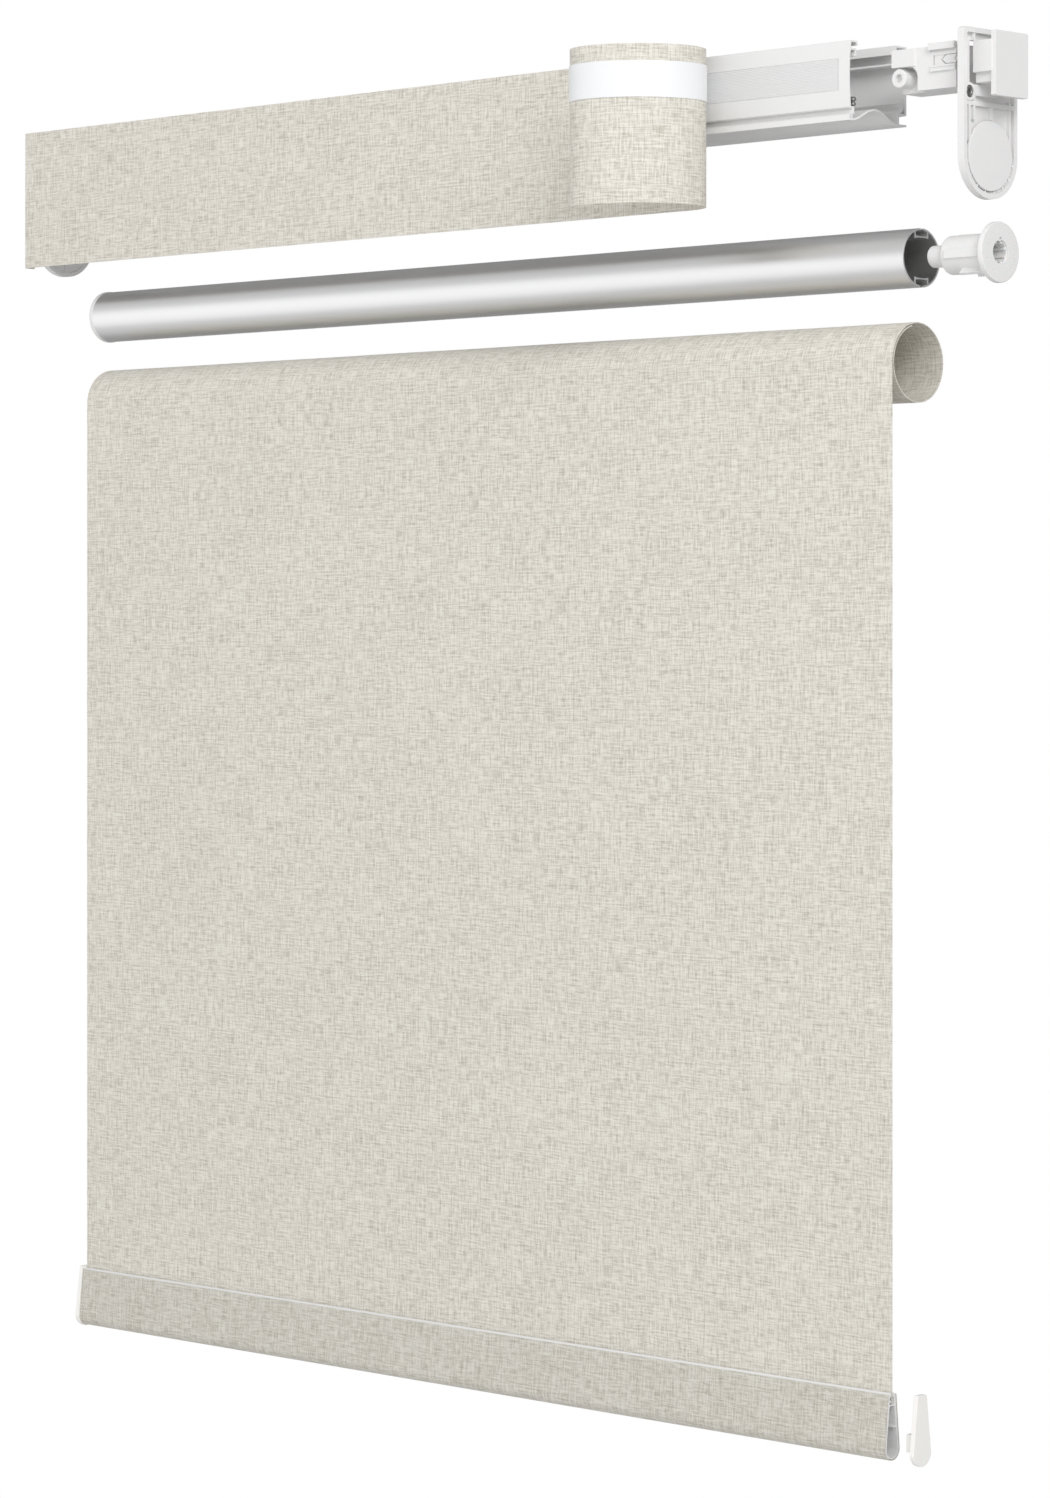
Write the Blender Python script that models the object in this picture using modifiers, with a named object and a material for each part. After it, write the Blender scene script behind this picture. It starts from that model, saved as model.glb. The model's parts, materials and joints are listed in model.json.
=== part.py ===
"""A roller blind with a linen valance, drawn apart as it comes off its head rail.

Numbers are in millimetres and become metres in mesh_points. X runs along the blind, -Y faces the
room, +Z is up. The origin is the middle of the head rail's back face, where the wall is.
Section points are (y, z) from the roller's own axis in the closed head.
"""

import math

import bmesh
import bpy
from mathutils import Matrix

MM = 0.001
GAP = 0.3

# Head rail
RAIL_HALF = 425.0
AXIS_Y, AXIS_Z = -30.8, -57.0
BACK, FRONT = 30.8, -30.6
TOP, FOOT = 84.0, 29.2
ARCH_RISE, ARCH_SPAN = 8.6, 54.0
WALL = 1.6

# End plates
PLATE_R, PLATE_TOP, PLATE_THICK = 28.7, 83.9, 5.5
RIM, RECESS = 3.0, 2.2
DISC_R = 23.5

# What is drawn apart, and how far
END_OUT = 91.0
COVER_OUT = 13.4
PLUG_OUT = 62.7
TUBE_ALONG, TUBE_DOWN = 47.0, 64.3
ROLL_DOWN = 70.7
CAP_OUT = 22.0

# Roller
TUBE_R, TUBE_WALL, TUBE_LONG = 20.0, 1.3, 833.0
TUBE_X0 = -RAIL_HALF + 8.0 + TUBE_ALONG
TUBE_X1 = TUBE_X0 + TUBE_LONG
TUBE_Y, TUBE_Z = AXIS_Y, AXIS_Z - TUBE_DOWN
FLANGE_R, FLANGE_THICK = 20.35, 4.0

# Fabric and bottom bar
ROLL_R, TURN_STEP = 28.0, 1.5
BLIND_X0, BLIND_X1 = TUBE_X0 + 3.0, TUBE_X1 - 3.0
CLOTH = 0.8
ROLL_Z = TUBE_Z - ROLL_DOWN
BAR_TOP, BAR_TALL, BAR_R = -882.0, 46.3, 8.0
SHEET_Y = AXIS_Y - ROLL_R + CLOTH / 2

# Valance
VALANCE_TALL, VALANCE_BOTTOM = 109.0, -80.0
VALANCE_Y = -32.6
CURL_X, CURL_LONG, CURL_SHORT, CURL_LEAN = 272.3, 46.9, 36.6, 43.9
CURL_START, CURL_END = -39.0, 185.0
TAPE_MIDDLE = 4.8
TAPE_TALL, TAPE_THICK = 25.0, 0.5

WHITE = ("white_moulding", (0.86, 0.86, 0.85), 0.45, 0.0)
PAINTED = ("white_painted_aluminium", (0.84, 0.84, 0.84), 0.4, 0.0)
SATIN = ("satin_aluminium", (0.8, 0.81, 0.82), 0.3, 1.0)
LINEN = ("linen", (0.66, 0.64, 0.58), 0.9, 0.0)
TAPE = ("tape", (0.85, 0.86, 0.87), 0.6, 0.0)
STRIP = ("grip_strip", (0.74, 0.75, 0.75), 0.6, 0.0)
STEEL = ("screw_steel", (0.36, 0.36, 0.37), 0.35, 1.0)
SPRING = ("spring_steel", (0.45, 0.45, 0.46), 0.35, 1.0)
IVORY = ("ivory_moulding", (0.8, 0.78, 0.74), 0.5, 0.0)

ALONG_X = Matrix(((0, 0, 1, 0), (1, 0, 0, 0), (0, 1, 0, 0), (0, 0, 0, 1)))
ALONG_Y = Matrix(((0, 1, 0, 0), (0, 0, 1, 0), (1, 0, 0, 0), (0, 0, 0, 1)))
ALONG_Z = Matrix.Identity(4)

for old in list(bpy.data.objects):
    bpy.data.objects.remove(old, do_unlink=True)

blind = bpy.data.collections.new("roller_blind")
cutters = bpy.data.collections.new("cutters")
for group in (blind, cutters):
    bpy.context.scene.collection.children.link(group)


def material(name, color, roughness, metallic):
    found = bpy.data.materials.get(name)
    if found:
        return found
    made = bpy.data.materials.new(name)
    made.use_nodes = True
    shader = made.node_tree.nodes["Principled BSDF"]
    shader.inputs["Base Color"].default_value = (*color, 1)
    shader.inputs["Roughness"].default_value = roughness
    shader.inputs["Metallic"].default_value = metallic
    return made


def keep(name, mesh, finish, smooth=30.0):
    mesh.materials.clear()
    mesh.materials.append(material(*finish))
    mesh.shade_smooth()
    mesh.set_sharp_from_angle(angle=math.radians(smooth))
    obj = bpy.data.objects.new(name, mesh)
    blind.objects.link(obj)
    return obj


# Outlines, as lists of (u, v)


def arc(u, v, radius, start, end, steps):
    """Points on a circle, angles in degrees from +u towards +v."""
    turn = [math.radians(start + (end - start) * i / steps) for i in range(steps + 1)]
    return [(u + radius * math.cos(a), v + radius * math.sin(a)) for a in turn]


def circle(u, v, radius, steps=32):
    return arc(u, v, radius, 0, 360 - 360 / steps, steps - 1)


def lobed(u, v, radius, depth, lobes, steps=48):
    """A round outline whose radius swings in and out, as a splined hole."""
    points = []
    for i in range(steps):
        a = 2 * math.pi * i / steps
        r = radius + depth * math.cos(lobes * a)
        points.append((u + r * math.cos(a), v + r * math.sin(a)))
    return points


def rectangle(u0, u1, v0, v1):
    return [(u0, v0), (u1, v0), (u1, v1), (u0, v1)]


def ribbon(path, thick, side=0.0):
    """The outline of a strip of this thickness along a path. side moves it off the path, in thicknesses."""
    normals = []
    for i in range(len(path)):
        legs = []
        for a, b in ((i - 1, i), (i, i + 1)):
            if 0 <= a and b < len(path):
                du, dv = path[b][0] - path[a][0], path[b][1] - path[a][1]
                size = math.hypot(du, dv)
                legs.append((-dv / size, du / size))
        nu, nv = sum(n[0] for n in legs), sum(n[1] for n in legs)
        size = math.hypot(nu, nv)
        nu, nv = nu / size, nv / size
        mitre = 1 / (nu * legs[0][0] + nv * legs[0][1])
        normals.append((nu * mitre, nv * mitre))
    left, right = (side + 0.5) * thick, (side - 0.5) * thick
    one = [(p[0] + n[0] * left, p[1] + n[1] * left) for p, n in zip(path, normals)]
    two = [(p[0] + n[0] * right, p[1] + n[1] * right) for p, n in zip(path, normals)]
    return two + one[::-1]


def end_outline(inset=0.0):
    """The end plate's outline: flat top with small corners, round foot on the roller's axis."""
    r, corner = PLATE_R - inset, 3.0
    top = PLATE_TOP - inset
    foot = arc(0, 0, r, 180, 360, 32)
    right = arc(r - corner, top - corner, corner, 0, 90, 5)
    left = arc(corner - r, top - corner, corner, 90, 180, 5)
    return foot + right + left


def teardrop(wide, tall, top_half, steps=20):
    """The bottom bar's outline, foot at v = 0: a round foot and straight flanks up to a narrow top."""
    lean = math.degrees(math.asin((wide - top_half) / (tall - wide)))
    foot = arc(0, wide, wide, 180 + lean, 360 - lean, steps)
    corner = 2.4
    right = arc(top_half - corner, tall - corner, corner, 0, 90, 4)
    left = arc(corner - top_half, tall - corner, corner, 90, 180, 4)
    return foot + right + left


# Solids


def mesh_points(mesh, matrix):
    """Turns an outline solid into its place in the blind, in metres."""
    mesh.transform(Matrix.Scale(MM, 4) @ matrix)
    mesh.update()
    return mesh


def extrude(loops, low, high, way):
    """A flat outline, holes after it, made solid from low to high along the way's axis."""
    curve = bpy.data.curves.new("outline", "CURVE")
    curve.dimensions = "2D"
    curve.fill_mode = "BOTH"
    curve.extrude = (high - low) / 2
    for loop in loops:
        spline = curve.splines.new("POLY")
        spline.points.add(len(loop) - 1)
        for point, (u, v) in zip(spline.points, loop):
            point.co = (u, v, 0, 1)
        spline.use_cyclic_u = True
    holder = bpy.data.objects.new("outline", curve)
    bpy.context.scene.collection.objects.link(holder)
    mesh = bpy.data.meshes.new_from_object(holder.evaluated_get(bpy.context.evaluated_depsgraph_get()))
    bpy.data.objects.remove(holder, do_unlink=True)
    bpy.data.curves.remove(curve)
    return mesh_points(welded(mesh), way @ Matrix.Translation((0, 0, (low + high) / 2)))


def welded(mesh):
    shape = bmesh.new()
    shape.from_mesh(mesh)
    bmesh.ops.remove_doubles(shape, verts=shape.verts, dist=1e-3)
    bmesh.ops.recalc_face_normals(shape, faces=shape.faces)
    shape.to_mesh(mesh)
    shape.free()
    return mesh


def box(x, y, z):
    """A block between three pairs of limits."""
    shape = bmesh.new()
    size = [b - a for a, b in (x, y, z)]
    middle = [(a + b) / 2 for a, b in (x, y, z)]
    bmesh.ops.create_cube(shape, size=1, matrix=Matrix.Translation(middle) @ Matrix.Diagonal((*size, 1)))
    mesh = bpy.data.meshes.new("box")
    shape.to_mesh(mesh)
    shape.free()
    return mesh_points(mesh, Matrix.Identity(4))


def turned(name, profile, centre, finish, way=ALONG_X, steps=32, closed=False):
    """A turned piece: (radius, place along the axis) points, outer side first from the far end down."""
    mesh = bpy.data.meshes.new(name)
    shape = bmesh.new()
    dots = [shape.verts.new((radius, 0, along)) for radius, along in profile]
    pairs = list(zip(dots, dots[1:]))
    if closed:
        pairs.append((dots[-1], dots[0]))
    for a, b in pairs:
        shape.edges.new((a, b))
    shape.to_mesh(mesh)
    shape.free()
    holder = bpy.data.objects.new(name, mesh)
    bpy.context.scene.collection.objects.link(holder)
    screw = holder.modifiers.new("turn", "SCREW")
    screw.steps = screw.render_steps = steps
    screw.use_merge_vertices = True
    screw.merge_threshold = 1e-4
    bpy.context.view_layer.update()
    made = bpy.data.meshes.new_from_object(holder.evaluated_get(bpy.context.evaluated_depsgraph_get()))
    bpy.data.objects.remove(holder, do_unlink=True)
    bpy.data.meshes.remove(mesh)
    made = mesh_points(welded(made), Matrix.Translation(centre) @ way)
    return keep(name, made, finish) if finish else made


def combine(target, mesh, operation):
    """Cuts the mesh from the target, or joins it on."""
    helper = bpy.data.objects.new(target.name + "_" + operation.lower(), mesh)
    helper.hide_render = True
    helper.display_type = "WIRE"
    cutters.objects.link(helper)
    modifier = target.modifiers.new(operation.title(), "BOOLEAN")
    modifier.operation = operation
    modifier.object = helper


def cut(target, *meshes):
    for mesh in meshes:
        combine(target, mesh, "DIFFERENCE")


def join(target, *meshes):
    for mesh in meshes:
        combine(target, mesh, "UNION")


def section(points, y=AXIS_Y, z=AXIS_Z):
    return [(u + y, v + z) for u, v in points]


def along(low, high, *loops, y=AXIS_Y, z=AXIS_Z):
    """Section outlines run along X between two places."""
    return extrude([section(loop, y, z) for loop in loops], low, high, ALONG_X)


# Head rail and fascia


def arch_line(steps=24):
    half = ARCH_SPAN / 2
    ys = [half - ARCH_SPAN * i / steps for i in range(steps + 1)]
    return [(y, FOOT + 0.8 + ARCH_RISE / 2 * (1 + math.cos(math.pi * y / half))) for y in ys]


def make_rail():
    low, high = -RAIL_HALF, RAIL_HALF
    wall_y, lip_y = BACK - WALL / 2, 19.5
    foot_z = FOOT + 0.8
    floor = [(BACK, foot_z)] + arch_line() + [(FRONT, foot_z)]
    rail = keep("back_rail", along(low, high, ribbon(floor, WALL)), PAINTED)
    wall = [(24.0, foot_z), (24.0, 36.6), (wall_y, 36.6), (wall_y, TOP - WALL / 2), (lip_y, TOP - WALL / 2)]
    track_lip = [(lip_y, TOP - WALL / 2), (lip_y, TOP - 5.6)]
    track_floor = [(wall_y, 72.6), (lip_y, 72.6), (lip_y, 75.6)]
    front_web = [(-27.6, foot_z), (-27.6, 35.4)]
    front_lip = [(FRONT + WALL / 2, foot_z), (FRONT + WALL / 2, 33.1)]
    for path in (wall, track_lip, track_floor, front_web, front_lip):
        join(rail, along(low, high, ribbon(path, WALL)))
    return rail


FASCIA_FOOT, FASCIA_TOP = 38.1, 82.6


def fascia_line():
    """The fascia's front face: upright, then easing back towards its top."""
    ease = [(z, 1.4 * (1 - math.cos(math.pi * (z - 60) / 23)) / 2) for z in (60, 64, 68, 73, 78, FASCIA_TOP)]
    return [(FRONT + 0.9, FASCIA_FOOT)] + [(FRONT + 0.9 + back, z) for z, back in ease]


STRIP_LOW, STRIP_HIGH = 49.6, 71.4


def make_fascia():
    low, high, thick = -RAIL_HALF, RAIL_HALF, 1.8
    face = fascia_line()
    fascia = keep("fascia", along(low, high, ribbon(face, thick)), PAINTED)
    hook = [face[-1], (-19.4, FASCIA_TOP)]
    inner = [(face[-3][0], 77.4), (-21.6, 77.4), (-21.6, 73.4)]
    foot = [(FRONT + 0.9, FASCIA_FOOT), (-25.0, FASCIA_FOOT), (-25.0, 33.4)]
    for path in (hook, inner, foot):
        join(fascia, along(low, high, ribbon(path, 1.4)))
    cut(fascia, along(low + 9, high - 9, rectangle(FRONT - 2, FRONT + 1.0, STRIP_LOW, STRIP_HIGH)))
    ribs = []
    count, inset = 14, 0.6
    pitch = (STRIP_HIGH - STRIP_LOW - 2 * inset) / count
    for i in range(count):
        z = STRIP_LOW + inset + i * pitch
        ribs += [(FRONT + 0.1, z), (FRONT + 0.1, z + 0.6 * pitch)]
        ribs += [(FRONT + 0.3, z + 0.65 * pitch), (FRONT + 0.3, z + 0.95 * pitch)]
    ribs += [(FRONT + 0.1, STRIP_HIGH - inset), (FRONT + 0.7, STRIP_HIGH - inset), (FRONT + 0.7, STRIP_LOW + inset)]
    keep("grip_strip", along(low + 9.5, high - 9.5, ribs), STRIP)


def curl_line(steps=38):
    """The peeled end in plan: part of an ellipse whose long axis leans back from the rail."""
    lean = math.radians(CURL_LEAN)
    cos_lean, sin_lean = math.cos(lean), math.sin(lean)
    spots = []
    for i in range(steps + 1):
        a = math.radians(CURL_START + (CURL_END - CURL_START) * i / steps)
        long, short = CURL_LONG * math.cos(a), CURL_SHORT * math.sin(a)
        spots.append((CURL_X + long * cos_lean + short * sin_lean, long * sin_lean - short * cos_lean))
    shift = VALANCE_Y - spots[0][1]
    return [(x, y + shift) for x, y in spots]


def make_valance():
    """The linen strip: flat on the fascia, its end peeled off into a curl. The tape is on its back."""
    left, bend, back = -RAIL_HALF - 14.0, 1.6, 10.0
    flat = [(CURL_X - 60, VALANCE_Y)] + curl_line()
    path = [(left, VALANCE_Y + back)] + arc(left + bend, VALANCE_Y + bend, bend, 180, 270, 4) + flat
    strip = ribbon(path, CLOTH)
    lifted = [(u, v + AXIS_Y) for u, v in strip]
    keep("valance", extrude([lifted], VALANCE_BOTTOM, VALANCE_BOTTOM + VALANCE_TALL, ALONG_Z), LINEN)
    off = CLOTH / 2 + GAP + TAPE_THICK / 2
    tape = ribbon([(left + 12, VALANCE_Y)] + flat, TAPE_THICK, side=off / TAPE_THICK)
    lifted = [(u, v + AXIS_Y) for u, v in tape]
    low, high = TAPE_MIDDLE - TAPE_TALL / 2, TAPE_MIDDLE + TAPE_TALL / 2
    keep("valance_tape", extrude([lifted], low, high, ALONG_Z), TAPE)


# End fittings. side is +1 at the right end and -1 at the left; outer is the face away from the rail


def spread(inner, side, near, far):
    """Limits along X between two distances out from a plane."""
    a, b = inner + side * near, inner + side * far
    return (min(a, b), max(a, b))


SLOT = (-18.4, 6.5, 46.2, 75.4)
SCREW_AT = (-22.0, 41.2)


def make_end_plate(name, inner, side):
    plate = keep(name, along(*spread(inner, side, 0, PLATE_THICK), end_outline()), WHITE)
    deep = spread(inner, side, PLATE_THICK - RECESS, PLATE_THICK + 1)
    ring = 2.4
    lower = end_outline(RIM)
    cut(plate, along(*deep, lower))
    ribs = [
        rectangle(-17.4, -15.6, 24, 46),
        rectangle(-24.0, 24.0, 32.3, 35.3),
        rectangle(1.4, 3.8, 20, 34),
        rectangle(-22.2, -20.4, 8, 36),
        rectangle(20.8, 22.8, 8, 37),
        rectangle(-26.5, 7.0, 39.0, 46.4),
    ]
    height = spread(inner, side, PLATE_THICK - RECESS - 0.2, PLATE_THICK - 0.6)
    for rib in ribs:
        join(plate, along(*height, rib))
    for i in range(9):
        a = 180 + 22.5 * i
        spoke = arc(0, 0, DISC_R + 0.6, a - 1.6, a + 1.6, 1) + arc(0, 0, PLATE_R - RIM + ring / 4, a + 1.6, a - 1.6, 1)
        join(plate, along(*height, spoke))
    through = spread(inner, side, -1, PLATE_THICK + 1)
    cut(plate, along(*through, circle(0, 0, 9.0)))
    cut(plate, along(*spread(inner, side, PLATE_THICK - RECESS, PLATE_THICK + 1), circle(0, 0, DISC_R + GAP, 48)))
    cut(plate, along(*through, rectangle(*SLOT)))
    cut(plate, along(*through, circle(*SCREW_AT, 2.3, 20)))
    cut(plate, along(*spread(inner, side, PLATE_THICK - 2.6, PLATE_THICK + 1), circle(*SCREW_AT, 4.2, 24)))
    hollow = spread(inner, side, -1, 1.8)
    for i in range(8):
        a = 45.0 * i + 4
        pocket = arc(0, 0, 13, a, a + 37, 5) + arc(0, 0, PLATE_R - RIM, a + 37, a, 5)
        cut(plate, along(*hollow, pocket))
    return plate


def make_plate_screw(name, inner, side):
    """Button-head socket screw in the plate's front boss, its shank reaching into the coupling block's lug."""
    y, z = SCREW_AT
    head, shank = 3.85, 2.0
    face = PLATE_THICK - 0.4
    outline = [(0, face), (2.2, face), (head, face - 1.1), (head, face - 1.9), (shank, face - 1.9), (shank, 0.4), (0, 0.4)]
    way = ALONG_X if side > 0 else Matrix.Rotation(math.pi, 4, "Z") @ ALONG_X
    screw = turned(name, outline, (inner, AXIS_Y + y, AXIS_Z + z), STEEL, way, 24)
    socket = circle(y, z, 1.5, 6)
    cut(screw, along(*spread(inner, side, face - 1.5, face + 1), socket))


def make_pivot(name, inner, side, spline):
    """The bearing disc that closes the plate's foot. Its hub goes through to the roller."""
    face = PLATE_THICK - 0.1
    back = face - 1.8
    hub = 8.6
    nose = -10.0 if spline else -0.0
    outline = [(0, face), (DISC_R - 0.5, face), (DISC_R, face - 0.5), (DISC_R, back), (hub, back), (hub, 0)]
    if spline:
        outline += [(0, 0)]
    else:
        outline += [(4.6, 0), (4.6, 5.0), (0, 5.0)]
    way = ALONG_X if side > 0 else Matrix.Rotation(math.pi, 4, "Z") @ ALONG_X
    pivot = turned(name, outline, (inner, AXIS_Y, AXIS_Z), WHITE, way, 48)
    if spline:
        join(pivot, along(*spread(inner, side, nose, 0.5), lobed(0, 0, 5.7, 0.5, 8)))
    return pivot


BLOCK_Y = (-17.6, 12.0)
BLOCK_Z = (45.8, 74.6)
BLOCK_LONG = 63.0


def make_coupling(name, slider_name, inner, side):
    """The block that joins an end plate to the rail. It slides into the rail's hollow."""
    y0, y1 = BLOCK_Y
    z0, z1 = BLOCK_Z
    near, far, step = -BLOCK_LONG, -GAP, -29.3
    block = keep(name, along(*spread(inner, side, near, far), rectangle(y0, y1, z0, z1)), WHITE)
    lug = along(*spread(inner, side, near, near + 19), rectangle(y0 - 2.5, y0 + 1, 62.4, z1 - 0.5))
    ledge = along(*spread(inner, side, step - 2.6, far - 1), rectangle(y0 - 2.8, y0 + 1, 70.6, z1 + 1.7))
    shelf = along(*spread(inner, side, step - 1.4, far - 1), rectangle(y0 - 1.6, y0 + 1, 57.4, 61.4))
    join(block, lug, ledge, shelf)
    boss_x, boss_z, corner_r = inner + side * (near + 6.2), AXIS_Z + 55.0, 7.3
    corner_x, corner_z = inner + side * (near + 13.1), AXIS_Z + 55.0
    corner = [(AXIS_Z + z0 - 1, inner + side * (near - 1)), (corner_z + corner_r, inner + side * (near - 1))]
    corner += arc(corner_z, corner_x, corner_r, 0, side * 90, 8)
    corner += [(AXIS_Z + z0 - 1, corner_x + side * corner_r)]
    cut(block, extrude([corner], AXIS_Y + y0 - 4, AXIS_Y + y0 + 10, ALONG_Y))
    boss = [(0, 12), (6.2, 12), (6.2, -2.4), (3.0, -2.4), (3.0, 7.0), (0, 7.0)]
    join(block, turned("boss", boss, (boss_x, AXIS_Y + y0, boss_z), None, ALONG_Y, 32))
    window = along(*spread(inner, side, step, -8), rectangle(y0 - 4, y0 + 5.5, 61.8, 68.2))
    hollow = along(*spread(inner, side, step - 2, 1), rectangle(y0 + 2, y1 - 4, z0 + 2, z1 - 2))
    stem_room = along(*spread(inner, side, -9.8, 1), rectangle(y0 - 5, y1 - 4, z0 - 1, z1 + 3))
    groove = along(*spread(inner, side, -45, -20), rectangle(y0 + 9, y0 + 15, z0 - 1, z0 + 1.4))
    cut(block, window, hollow, stem_room, groove)
    low, high = AXIS_Z + 62.2, AXIS_Z + 67.8
    nose, heel, point = inner + side * (step + 7.2), inner + side * -10.3, inner + side * (step + 10.8)
    slider = [((low + high) / 2, nose), (low, point), (low, heel), (high, heel), (high, point)]
    keep(slider_name, extrude([slider], AXIS_Y + y0 + 1.0, AXIS_Y + y0 + 5.0, ALONG_Y), WHITE)
    return block


def make_cover(name, inner, side, out):
    """The square snap cover. Its hollow stem goes through the plate's slot."""
    flange, half, low, high = 4.0, 17.4, 37.8, 80.9
    corner = 1.2
    face = out + PLATE_THICK + GAP
    outline = arc(half - corner, low + corner, corner, 270, 360, 4) + arc(half - corner, high - corner, corner, 0, 90, 4)
    outline += arc(corner - half, high - corner, corner, 90, 180, 4)
    outline += arc(corner - half, low + corner, corner, 180, 270, 4)
    cover = keep(name, along(*spread(inner, side, face, face + flange), outline), WHITE)
    y0, y1, z0, z1 = SLOT
    stem = rectangle(y0 + 1, y1 - 1, z0 + 7.6, z1 - 1)
    foot = rectangle(y0 + 3.4, y1 - 1, z0 + 1, z0 + 9)
    hollow = rectangle(y0 + 5.4, y1 - 3, z0 + 3, z1 - 3)
    join(cover, along(*spread(inner, side, face - 14.5, face + 1), stem))
    join(cover, along(*spread(inner, side, face - 14.5, face + 1), foot))
    cut(cover, along(*spread(inner, side, face - 15.5, face - 1), hollow))


def make_rail_screw(name, x):
    """Small grub screw that locks the fascia's foot on the rail."""
    profile = [(0, 6.4), (1.6, 6.4), (2.3, 5.4), (2.3, 4.0), (1.3, 3.4), (1.3, 3.0), (2.1, 2.4), (2.1, 1.0), (1.0, 0), (0, 0)]
    turned(name, profile, (x, AXIS_Y - 23.4, AXIS_Z + FASCIA_FOOT + 0.7 + GAP), STEEL, ALONG_Z, 16)


# Roller


def tube_outlines():
    """The extruded tube: a round wall slit at top and bottom, each slit opening into an inner keyway."""
    bore = TUBE_R - TUBE_WALL
    slit, key, leg, floor, horn = 1.3, 6.2, 7.4, 14.8, 12.7
    lift = math.degrees(math.asin(slit / TUBE_R))
    at = math.degrees(math.asin(leg / bore))
    outer, inner = [], []
    for turn, sign in ((90, 1), (270, -1)):
        outer += arc(0, 0, TUBE_R, turn - 180 + lift, turn - lift, 30)
        wall_z = math.sqrt(bore**2 - key**2)
        channel = [(slit, bore), (key, wall_z), (key, floor), (-key, floor), (-key, wall_z), (-slit, bore)]
        outer += [(sign * y, sign * z) for y, z in channel]
        inner += arc(0, 0, bore, turn - 180 + at, turn - at, 26)
        horns = [(leg, horn), (key + 0.2, horn), (key - 0.6, 13.5), (0.6 - key, 13.5), (-key - 0.2, horn), (-leg, horn)]
        inner += [(sign * y, sign * z) for y, z in horns]
    return outer, inner


def make_tube():
    outer, inner = tube_outlines()
    keep("roller_tube", along(TUBE_X0, TUBE_X1, outer, inner, z=TUBE_Z), SATIN)


def make_plug():
    """The right-hand plug: pin, ribbed body and flange, with the splined socket in its face."""
    seat = TUBE_X1 + GAP + PLUG_OUT
    body, pin = 13.0, 7.65
    profile = [
        (0, FLANGE_THICK), (FLANGE_R - 0.6, FLANGE_THICK), (FLANGE_R, FLANGE_THICK - 0.6), (FLANGE_R, 0.6),
        (FLANGE_R - 0.6, 0), (body, 0), (body, -36), (body - 2, -38), (9.0, -38.2), (9.0, -41),
        (pin, -41.4), (pin, -52), (pin - 1.2, -53), (0, -53),
    ]
    plug = turned("end_plug", profile, (seat, AXIS_Y, TUBE_Z), WHITE, ALONG_X, 48)
    place = {"y": AXIS_Y, "z": TUBE_Z}
    for angle, reach, wide, start in ((-53, 17.4, 2.0, -22), (-127, 17.4, 2.0, -22), (0, 14.4, 6.0, -33), (180, 14.4, 6.0, -33)):
        turn = math.radians(angle)
        rib = [
            (u * math.cos(turn) - v * math.sin(turn), u * math.sin(turn) + v * math.cos(turn))
            for u, v in rectangle(10, reach, -wide / 2, wide / 2)
        ]
        join(plug, along(seat + start, seat + 1, rib, **place))
    cut(plug, along(seat - 20, seat + FLANGE_THICK + 1, lobed(0, 0, 6.9, 0.5, 8), **place))
    for i in range(10):
        a = math.radians(90 + 36 * i)
        dot = circle(15.2 * math.cos(a), 15.2 * math.sin(a), 0.6, 8)
        cut(plug, along(seat + FLANGE_THICK - 0.5, seat + FLANGE_THICK + 1, dot, **place))


SHAFT_LONG, SHAFT_R = 300.0, 5.0


def make_spring_motor():
    """What turns the tube: a still shaft, a spring round it, and the anchor that ties the spring to the tube."""
    start = TUBE_X0 + 14
    place = {"y": AXIS_Y, "z": TUBE_Z}
    shaft = [
        (SHAFT_R, SHAFT_LONG), (SHAFT_R, 18), (7.6, 18), (7.6, 0), (4.6, 0), (4.6, 14), (2.0, 14), (2.0, SHAFT_LONG),
    ]
    turned("spring_shaft", shaft, (start, AXIS_Y, TUBE_Z), SATIN, ALONG_X, 24, closed=True)
    bush = [
        (FLANGE_R, -FLANGE_THICK + 0.6 - 14), (FLANGE_R, -14), (12.9, -14), (12.9, 4), (8.2, 4), (8.2, -12),
        (4.7, -12), (4.7, -FLANGE_THICK - 14), (FLANGE_R - 0.6, -FLANGE_THICK - 14),
    ]
    turned("idler_bush", bush[::-1], (start, AXIS_Y, TUBE_Z), WHITE, ALONG_X, 32, closed=True)
    tip = -FLANGE_THICK - 14 + 1
    pin = [(0, tip + 30.5), (4.2, tip + 30.5), (4.2, tip + 1), (3.4, tip), (0, tip)]
    turned("idler_pin", pin, (start, AXIS_Y, TUBE_Z), SATIN, ALONG_X, 24)
    anchor_x = start + SHAFT_LONG - 30
    ring = circle(0, 0, 12.4, 40)
    anchor = keep("spring_anchor", along(anchor_x, anchor_x + 20, ring, circle(0, 0, SHAFT_R + GAP, 24)[::-1], **place), WHITE)
    for sign in (1, -1):
        wing = rectangle(min(sign * 10, sign * 17.8), max(sign * 10, sign * 17.8), -2, 2)
        join(anchor, along(anchor_x, anchor_x + 20, wing, **place))
    hub_x = start + 24
    keep("spring_hub", along(hub_x, hub_x + 14, circle(0, 0, 9.0, 32), circle(0, 0, SHAFT_R + GAP, 24)[::-1], **place), WHITE)
    coil("torsion_spring", hub_x + 14 + 2, anchor_x - 2, 8.2, 0.9, 30)


def coil(name, low, high, radius, wire, turns, per_turn=10):
    curve = bpy.data.curves.new(name, "CURVE")
    curve.dimensions = "3D"
    curve.bevel_depth = wire * MM
    curve.bevel_resolution = 0
    curve.use_fill_caps = True
    spline = curve.splines.new("POLY")
    count = turns * per_turn
    spline.points.add(count)
    for i, point in enumerate(spline.points):
        a = 2 * math.pi * i / per_turn
        x = low + wire + (high - low - 2 * wire) * i / count
        point.co = (x * MM, (AXIS_Y + radius * math.cos(a)) * MM, (TUBE_Z + radius * math.sin(a)) * MM, 1)
    made = bpy.data.objects.new(name, curve)
    made.data.materials.append(material(*SPRING))
    blind.objects.link(made)


# Fabric and bottom bar


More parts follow.
